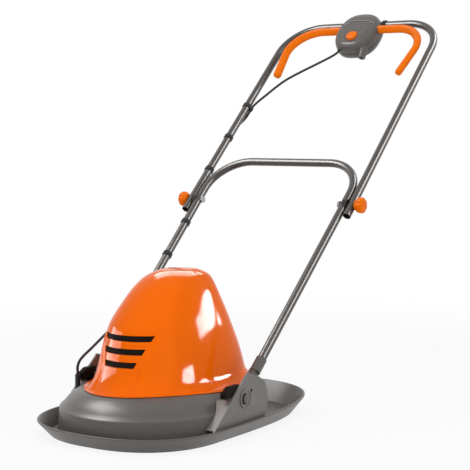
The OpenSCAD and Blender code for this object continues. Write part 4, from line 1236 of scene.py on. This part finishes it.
@dataclass
class Controls:
    """The switch box with its levers, lock button and inlet."""

    box_half: float = 0.058
    box_len: float = 0.136
    box_over: float = 0.022
    front_depth: float = 0.034
    rear_depth: float = 0.024
    grip_at: float = 1.196
    power: float = 2.5
    count: int = 240
    box_crease: float = 48.0
    front_shares: tuple[Pair, ...] = ((0, 1), (0.3, 0.995), (0.52, 0.97), (0.74, 0.91), (0.9, 0.8), (1, 0.62))
    rear_shares: tuple[Pair, ...] = ((0, 1), (0.45, 0.98), (0.8, 0.88), (1, 0.7))
    wall_rows: int = 30
    marked_from: int = 12
    face_rows: int = 60
    face_span: Pair = (0.985, 0.01)
    face_rise: float = 0.02
    back_share: float = 0.97
    back_in: float = 0.02
    shield_top: float = 0.020
    shield_h: float = 0.075
    shield_half: float = 0.043
    shield_power: float = 2.2
    shield_least: float = 1e-4
    shield_span: Pair = (-0.054, 0.021)
    shield_wide: float = 0.0017
    shield_deep: float = 0.0024
    visor_at: float = 0.024
    visor_sag: float = 0.004
    visor_reach: float = 0.04
    visor_half: float = 0.042
    visor_wide: float = 0.0024
    visor_deep: float = 0.0045
    dish_wide: float = 0.004
    dish_deep: float = 0.0014
    lever_z: float = 1.163
    lever_y: float = -0.012
    lever_hub: float = 0.026
    lever_turn_x: float = 0.110
    lever_turn_r: float = 0.078
    lever_tilt: float = math.radians(8.0)
    lever_end: float = 0.084
    lever_r: float = 0.0105
    lever_thin: float = 0.0088
    lever_powers: Pair = (2.6, 2.6)
    lever_sides: int = 40
    lever_counts: tuple[int, int, int] = (12, 26, 24)
    lever_crease: float = 60.0
    tip_len: float = 0.009
    tip_least: float = 0.02
    button_x: float = 0.002
    button_drop: float = 0.034
    button_r: float = 0.015
    button_sunk: float = 0.010
    button_out: float = 0.005
    button_sides: int = 72
    button_spacing: float = 0.06
    button_least: float = 0.02
    button_profile: tuple[Pair, ...] = (
        (0.0, 0.9), (0.02, 0.98), (0.05, 1.0), (0.72, 1.0), (0.84, 0.96), (0.93, 0.84), (0.98, 0.66),
        (1.0, 0.45), (0.985, 0.25), (0.975, 0.02))
    seam_half: float = 0.0012
    seam_shares: tuple[Pair, ...] = ((0.985, -1), (1.004, -0.7), (1.004, 0.7), (0.985, 1))
    small_crease: float = 50.0
    bar_r: float = 0.0098
    collar_r: float = 0.0125
    collar_len: float = 0.007
    collar_in: float = 0.002
    collar_taper: float = 0.96
    collar_sides: int = 48
    collar_edge: float = 0.0006
    collar_crease: float = 40.0
    inlet_edge: float = 0.0012

    @property
    def box_z(self) -> float:
        """Middle of the box along the handle."""
        return self.grip_at + self.box_over - self.box_len / 2

    def ring(self, share: float, y: float) -> Points:
        """One ring of the box.

        Args:
            share: Its share of the outline.
            y: Its depth.

        Returns:
            The ring in the handle's frame.
        """
        half = self.box_len / 2 * share
        powers = (self.power, self.power)
        outline = superellipse(self.box_half * share, half, half, 0.0, powers, self.count)
        return np.column_stack([outline[:, 0], np.full(self.count, y), self.box_z + outline[:, 1]])

    def marked(self, ring: Points) -> Points:
        """Sinks the line round the shield and the visor line, and the dish round the button.

        Args:
            ring: One ring of the front.

        Returns:
            The ring with its lines sunk.
        """
        x, y, z = ring.T
        up = z - self.box_z
        low = np.clip((self.shield_top - up) / self.shield_h, 0, 1)
        edge = self.shield_half * np.sqrt(np.clip(1 - low**self.shield_power, 0, 1)) + self.shield_least
        shield = np.exp(-((np.abs(x) - edge) / self.shield_wide) ** 2)
        shield = shield * (up < self.shield_span[1]) * (up > self.shield_span[0])
        sag = self.visor_sag * (x / self.visor_reach) ** 2
        visor = np.exp(-((up - self.visor_at + sag) / self.visor_wide) ** 2) * (np.abs(x) < self.visor_half)
        away = np.hypot(x - self.button_x, up + self.button_drop)
        dish = np.exp(-(np.clip(away - self.button_r, 0, 1) / self.dish_wide) ** 2)
        sunk = self.shield_deep * shield + self.visor_deep * visor + self.dish_deep * dish
        return np.column_stack([x, y + sunk, z])

    def half_box(self, name: str, shares: tuple[Pair, ...], depth: float) -> Piece:
        """A closed half of the box.

        Args:
            name: Name of the piece.
            shares: Places along the depth and shares of the outline.
            depth: Depth along Y, negative for the front.

        Returns:
            The half.
        """
        rings = [self.ring(wide, depth * deep) for deep, wide in smooth_rows(shares, self.wall_rows)]
        last = shares[-1][1]
        for s in np.linspace(*self.face_span, self.face_rows):
            rings.append(self.ring(last * s, depth * (1 + self.face_rise * (1 - s * s))))
        if depth < 0:
            rings = [self.marked(r) if i > self.marked_from else r for i, r in enumerate(rings)]
        back = [self.ring(share, depth * self.back_in) for share in (self.face_span[1], self.back_share)]
        rings = [LAYOUT.handle(r) for r in (*back, *rings)]
        return Piece.skin(name, rings, capped=True).smooth(self.box_crease)

    def lever(self, side: Side) -> None:
        """Makes one lever: an arm out of the box, a bend and a rounded end.

        Args:
            side: Which lever.
        """
        r, (arm_count, turn_count, end_count) = self.lever_turn_r, self.lever_counts
        out = np.linspace(self.lever_hub, self.lever_turn_x, arm_count, endpoint=False)
        turn = np.linspace(math.pi / 2, -self.lever_tilt, turn_count)
        arm = [(x, self.lever_z) for x in out]
        arm += [(self.lever_turn_x + r * math.cos(t), self.lever_z - r + r * math.sin(t)) for t in turn]
        end_x, end_z = arm[-1]
        s, c = math.sin(self.lever_tilt), math.cos(self.lever_tilt)
        reach = np.linspace(0, self.lever_end + self.lever_r / 2, end_count)[1:]
        arm += [(end_x - s * d, end_z - c * d) for d in reach]
        path = LAYOUT.handle(np.array([(side.value * x, self.lever_y, z) for x, z in arm]))
        left = np.flip(np.cumsum(np.linalg.norm(np.diff(np.flip(path, 0), axis=0), axis=1)))
        close = 1 - np.clip(np.append(left, 0.0) / self.tip_len, 0, 1)
        scales = np.sqrt(np.clip(1 - close**2, self.tip_least, 1))
        section = superellipse(self.lever_r, self.lever_thin, self.lever_thin, 0.0, self.lever_powers,
                               self.lever_sides)
        body = f"lever_{side.label}"
        piece = Piece.sweep(f"{body}_arm", path, section, scales).smooth(self.lever_crease)
        piece.dress(Slot.HOOD, TRIM_ORANGE).stand_for(body, body)

    def button(self) -> None:
        """Makes the domed lock button."""
        low = -self.front_depth + self.button_sunk
        high = -self.front_depth - self.button_out
        around = circle(1.0, self.button_sides)
        middle = (self.button_x, self.box_z - self.button_drop)
        rings = []
        for deep, wide in smooth_path(self.button_profile, self.button_spacing):
            x, z = (around * self.button_r * max(wide, self.button_least) + middle).T
            y = np.full(self.button_sides, low + (high - low) * deep)
            rings.append(LAYOUT.handle(np.column_stack([x, y, z])))
        piece = Piece.skin("lock_button_cap", rings, capped=True).smooth(self.small_crease)
        piece.dress(Slot.HOOD, TRIM_ORANGE).stand_for("lock_button", "lock_button")

    def seals(self) -> None:
        """Makes the dark seam between the halves and the collars where the top bar enters the box."""
        rings = [LAYOUT.handle(self.ring(wide, self.seam_half * deep)) for wide, deep in self.seam_shares]
        piece = Piece.skin("box_seam", rings, closed=True).smooth(self.small_crease)
        piece.dress(Slot.BLACK).stand_for("upper_handle")
        flat = circle(1.0, self.collar_sides)
        profile = ((-self.collar_in, self.bar_r), (-self.collar_in, self.collar_r),
                   (self.collar_len, self.collar_r * self.collar_taper), (self.collar_len, self.bar_r))
        for side in Side:
            rings = []
            for out, r in profile:
                x = np.full(len(flat), side.value * (self.box_half + out - self.collar_len / 2))
                ring = np.column_stack([x, flat[:, 0] * r, self.grip_at + flat[:, 1] * r])
                rings.append(LAYOUT.handle(ring))
            piece = Piece.skin(f"bar_collar_{side.label}", rings, closed=True).bevel(self.collar_edge)
            piece.smooth(self.collar_crease).dress(Slot.BLACK).stand_for("upper_handle")

    def build(self) -> None:
        """Makes the box, the levers, the button and the inlet stub."""
        self.seals()
        front = self.half_box("switch_box_front", self.front_shares, -self.front_depth)
        front.dress(Slot.DECK).stand_for("upper_handle", "box_front")
        rear = self.half_box("switch_box_rear", self.rear_shares, self.rear_depth)
        rear.dress(Slot.DECK).stand_for("upper_handle", "box_rear")
        for side in Side:
            self.lever(side)
        self.button()
        Piece.softened("mains_inlet", "inlet_stub", self.inlet_edge, Slot.DECK)


@dataclass
class Lead:
    """The lead from the gland on the deck to the switch box, with its points in millimetres."""

    radius: float = 0.003
    spacing: float = 0.004
    sides: int = 18
    crease: float = 50.0
    run_in: float = 6.0
    lower: tuple[Triple, ...] = ((-205.1, 8.9, 260), (-210, 8.9, 488))
    bend: tuple[Triple, ...] = (
        (-211, 10, 508), (-213, 15, 524), (-216, 20, 540), (-219, 22, 556), (-224, 21, 575), (-229, 16, 595),
        (-232, 10.5, 611))
    upper: tuple[Triple, ...] = (
        (-232.4, 8.9, 630), (-232.4, 8.9, 800), (-229.5, 11.5, 822), (-223.5, 13, 842), (-217.5, 11.5, 860),
        (-214.6, 8.9, 876), (-214.6, 8.9, 892), (-211, 8.8, 905), (-203, 8, 920), (-186, 4, 940),
        (-171, 0, 957), (-148, -4, 982), (-115, -7.5, 1007), (-80, -9.5, 1033), (-47, -10.5, 1060),
        (-34, -11, 1074), (-31, -11, 1084), (-31, -11, 1098))
    free: tuple[Triple, ...] = (
        (-190.5, 1.7, 79), (-190.5, 1.7, 104), (-190.5, 1.7, 113), (-191, 9, 125), (-192, 26, 135),
        (-194, 52, 146), (-197, 90, 163), (-201, 130, 180), (-205, 165, 193), (-207.5, 200, 207),
        (-206.5, 232, 224))

    def tube(self, name: str, points: Points) -> Piece:
        """A smooth length of the lead through points in the frame of the part."""
        path = smooth_path(points, self.spacing)
        return Piece.sweep(name, path, circle(self.radius, self.sides)).smooth(self.crease)

    def build(self) -> None:
        """Makes the four stretches; the two that run between bodies are baked in place."""
        lower, upper = np.array(self.lower) * MM, np.array(self.upper) * MM
        run = np.array([0, 0, self.run_in * MM])
        free = np.concatenate([LAYOUT.machine(np.array(self.free) * MM),
                               LAYOUT.handle(np.array([lower[0] - run, lower[0]]))])
        fold = LAYOUT.handle(np.concatenate([[lower[1], lower[1] + run], np.array(self.bend) * MM,
                                             [upper[0] - run, upper[0]]]))
        for name, points in (("lower", lower), ("upper", upper)):
            piece = self.tube(f"lead_clipped_{name}", LAYOUT.handle(points)).dress(Slot.LEAD)
            piece.stand_for(f"{name}_handle", f"lead_{name}")
        self.bending("lead_from_gland", free, "lead_deck", ("deck", "lower_handle"))
        self.bending("lead_over_clamp", fold, "lead_fold", ("lower_handle", "upper_handle"))

    def bending(self, name: str, points: Points, node: str, bodies: tuple[str, str]) -> None:
        """Makes a stretch that runs between two bodies, baked where it lies at rest.

        Args:
            name: Name of the piece.
            points: Its route.
            node: The CAD node that it stands for.
            bodies: The bodies at its two ends.
        """
        piece = self.tube(name, points).dress(Slot.LEAD)
        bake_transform(piece.obj)
        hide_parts(node)
        LOG.info("%s bends between %s and %s for %s", name, *bodies, node)


@dataclass
class Works:
    """The motor, the cutter and the fasteners, which keep their CAD shapes."""

    round_edge: float = 0.0006
    bevelled: tuple[str, ...] = ("blade", "blade_bolt", "impeller", "height_spacer", "hood_screws",
                                 "box_screws", "motor_plate", "motor_cap")

    def build(self) -> None:
        """Rounds the edges of the larger parts and gives every CAD node the finish of its slot."""
        slots = {sub["node"]: sub["material_slot"] for sub in frame["record"]["subparts"]}
        for node in self.bevelled:
            Piece.softened(node, f"{node}_turned", self.round_edge, Slot(slots[node]))
        for node, obj in frame["nodes"].items():
            obj.data.materials.clear()
            obj.data.materials.append(FINISHES[Slot(slots[node])].material())


@dataclass(frozen=True)
class Lamp:
    """A soft lamp that lights the machine, or a bright card that only shows in its gloss."""

    name: str
    place: Triple
    target: Triple
    size: Pair
    watts: float
    shown_by: tuple[str, ...] = ()
    roll: float = 0.0

    def build(self) -> None:
        """Makes the lamp, turns it to its target and ties a card to the pieces that show it."""
        data = bpy.data.lights.new(self.name, "AREA")
        data.shape = "RECTANGLE"
        data.size, data.size_y = self.size
        data.energy = self.watts
        obj = bpy.data.objects.new(self.name, data)
        obj.location = self.place
        aim = (Vector(self.target) - Vector(self.place)).to_track_quat("-Z", "Y").to_matrix()
        obj.rotation_euler = (aim @ Matrix.Rotation(math.radians(self.roll), 3, "Z")).to_euler()
        obj.visible_camera = False
        obj.visible_diffuse = not self.shown_by
        obj.visible_glossy = bool(self.shown_by)
        bpy.context.scene.collection.objects.link(obj)
        if self.shown_by:
            shown = bpy.data.collections.new(f"{self.name}_pieces")
            for name in self.shown_by:
                shown.objects.link(bpy.data.objects[name])
            obj.light_linking.receiver_collection = shown


# Pieces that show a card in their gloss.
HOOD = ("hood_moulding",)
TUBES = ("lower_handle_tube", "upper_handle_tube")
TRIM = ("lever_left_arm", "lever_right_arm", "knob_left_grip", "knob_right_grip", "lock_button_cap")
GREY = ("deck_moulding", "bracket_left_moulding", "bracket_right_moulding", "switch_box_front",
        "switch_box_rear", "inlet_stub")
LAMPS: tuple[Lamp, ...] = (
    Lamp("top_softbox", (0.2, -0.5, 2.8), (0.0, -0.2, 0.1), (2.2, 2.2), 22.0),
    Lamp("left_softbox", (-1.9, -2.4, 1.6), (0.0, -0.3, 0.2), (1.4, 1.4), 21.0),
    Lamp("right_softbox", (2.7, -0.9, 1.2), (0.0, -0.3, 0.2), (1.4, 1.4), 19.0),
    Lamp("tall_card", (1.38, 1.22, 0.78), (0.09, -0.28, 0.24), (1.05, 0.62), 170.0, HOOD),
    Lamp("low_card", (0.2285, -0.341, 0.150), (0.115, -0.38, 0.11), (0.052, 0.026), 0.5, HOOD),
    Lamp("side_card", (-1.75, -1.3, 0.55), (-0.03, -0.46, 0.19), (1.9, 0.7), 80.0, HOOD),
    Lamp("crown_card", (-0.8, 1.0, 1.6), (0.03, -0.28, 0.32), (1.2, 0.8), 32.0, HOOD),
    Lamp("deck_card", (-1.15, -1.45, 1.9), (-0.05, -0.5, 0.08), (1.5, 1.2), 66.0, GREY),
    Lamp("tube_card", (1.74, 0.94, 2.04), (0.2, 0.22, 0.7), (3.4, 0.9), 120.0, TUBES, 28.0),
    Lamp("trim_card", (-0.9, -0.5, 2.4), (0.0, 0.45, 0.93), (1.6, 1.0), 60.0, TRIM),
    Lamp("bar_card", (-0.95, -1.0, 1.85), (0.0, 0.3, 0.7), (1.5, 1.3), 86.0, TUBES),
)


@dataclass
class Studio:
    """Camera, floor, world and lamps."""

    eye: Triple = (1.6639, -2.5118, 0.6270)
    ahead: Triple = (-0.55788, 0.82596, -0.08102)
    right: Triple = (0.82868, 0.55972, 0.0)
    focal_px: float = 1315.7
    frame_px: float = 470.0
    sensor: float = 36.0
    floor_size: float = 30.0
    floor_tone: float = 0.9
    floor_glow: float = 0.87
    floor_fade: Pair = (0.8, 2.0)
    world_light: float = 0.45
    lamps: tuple[Lamp, ...] = LAMPS

    def camera(self) -> None:
        """Makes the camera at the photograph's viewing angle."""
        data = bpy.data.cameras.new("view")
        data.sensor_width = self.sensor
        data.lens = self.focal_px / self.frame_px * self.sensor
        data.dof.use_dof = False
        obj = bpy.data.objects.new("view", data)
        back = -Vector(self.ahead)
        right = Vector(self.right)
        up = back.cross(right)
        turn = Matrix((right, up, back)).transposed().to_4x4()
        obj.matrix_world = Matrix.Translation(self.eye) @ turn
        bpy.context.scene.collection.objects.link(obj)
        bpy.context.scene.camera = obj

    def floor(self) -> None:
        """Makes the pale floor, which keeps the shadow near the machine and fades to white farther off."""
        half = self.floor_size / 2
        corners = np.array([(-half, -half, 0), (half, -half, 0), (half, half, 0), (-half, half, 0)])
        piece = Piece("floor", corners, [(0, 1, 2, 3)])
        material = bpy.data.materials.new("pale_floor")
        material.use_nodes = True
        shader = Shader(material.node_tree)
        tone = (self.floor_tone, self.floor_tone, self.floor_tone, 1.0)
        matt = shader.node("ShaderNodeBsdfDiffuse", {}, {"Color": tone})
        glow = shader.node("ShaderNodeEmission", {}, {"Color": WHITE, "Strength": 1.0})
        places = {0: shader.coords()}
        away = shader.node("ShaderNodeVectorMath", {"operation": "LENGTH"}, places, output="Value")
        glowing = away.ramp(*self.floor_fade) * (1.0 - self.floor_glow) + self.floor_glow
        seen = self.seen(shader) * glowing
        both = shader.node("ShaderNodeMixShader", {}, {0: seen, 1: matt, 2: glow})
        shader.node("ShaderNodeOutputMaterial", {}, {"Surface": both})
        piece.obj.data.materials.append(material)

    @staticmethod
    def seen(shader: Shader) -> Socket:
        """1 for rays from the camera, from gloss and through glass."""
        rays = [shader.node("ShaderNodeLightPath", output=f"Is {kind} Ray")
                for kind in ("Camera", "Glossy", "Transmission")]
        return (rays[0] + rays[1] + rays[2]).limited()

    def world(self) -> None:
        """Makes the white surroundings, which light the machine less than they show."""
        world = bpy.data.worlds.new("white_room")
        world.use_nodes = True
        bpy.context.scene.world = world
        shader = Shader(world.node_tree)
        strength = self.seen(shader) * (1.0 - self.world_light) + self.world_light
        sky = shader.node("ShaderNodeBackground", {}, {"Color": WHITE, "Strength": strength})
        shader.node("ShaderNodeOutputWorld", {}, {"Surface": sky})

    def build(self) -> None:
        """Makes the whole studio."""
        bpy.context.scene.view_settings.view_transform = "Standard"
        self.camera()
        self.floor()
        self.world()
        for lamp in self.lamps:
            lamp.build()


def main() -> None:
    """Builds every sub-assembly in order, then the studio."""
    logging.basicConfig(level=logging.INFO, format="%(name)s: %(message)s")
    for part in (Lead(), Deck(), Hood(), Brackets(), Handle(), Controls(), Works(), Studio()):
        part.build()
        LOG.info("%s built", type(part).__name__)


if __name__ == "__main__":
    main()
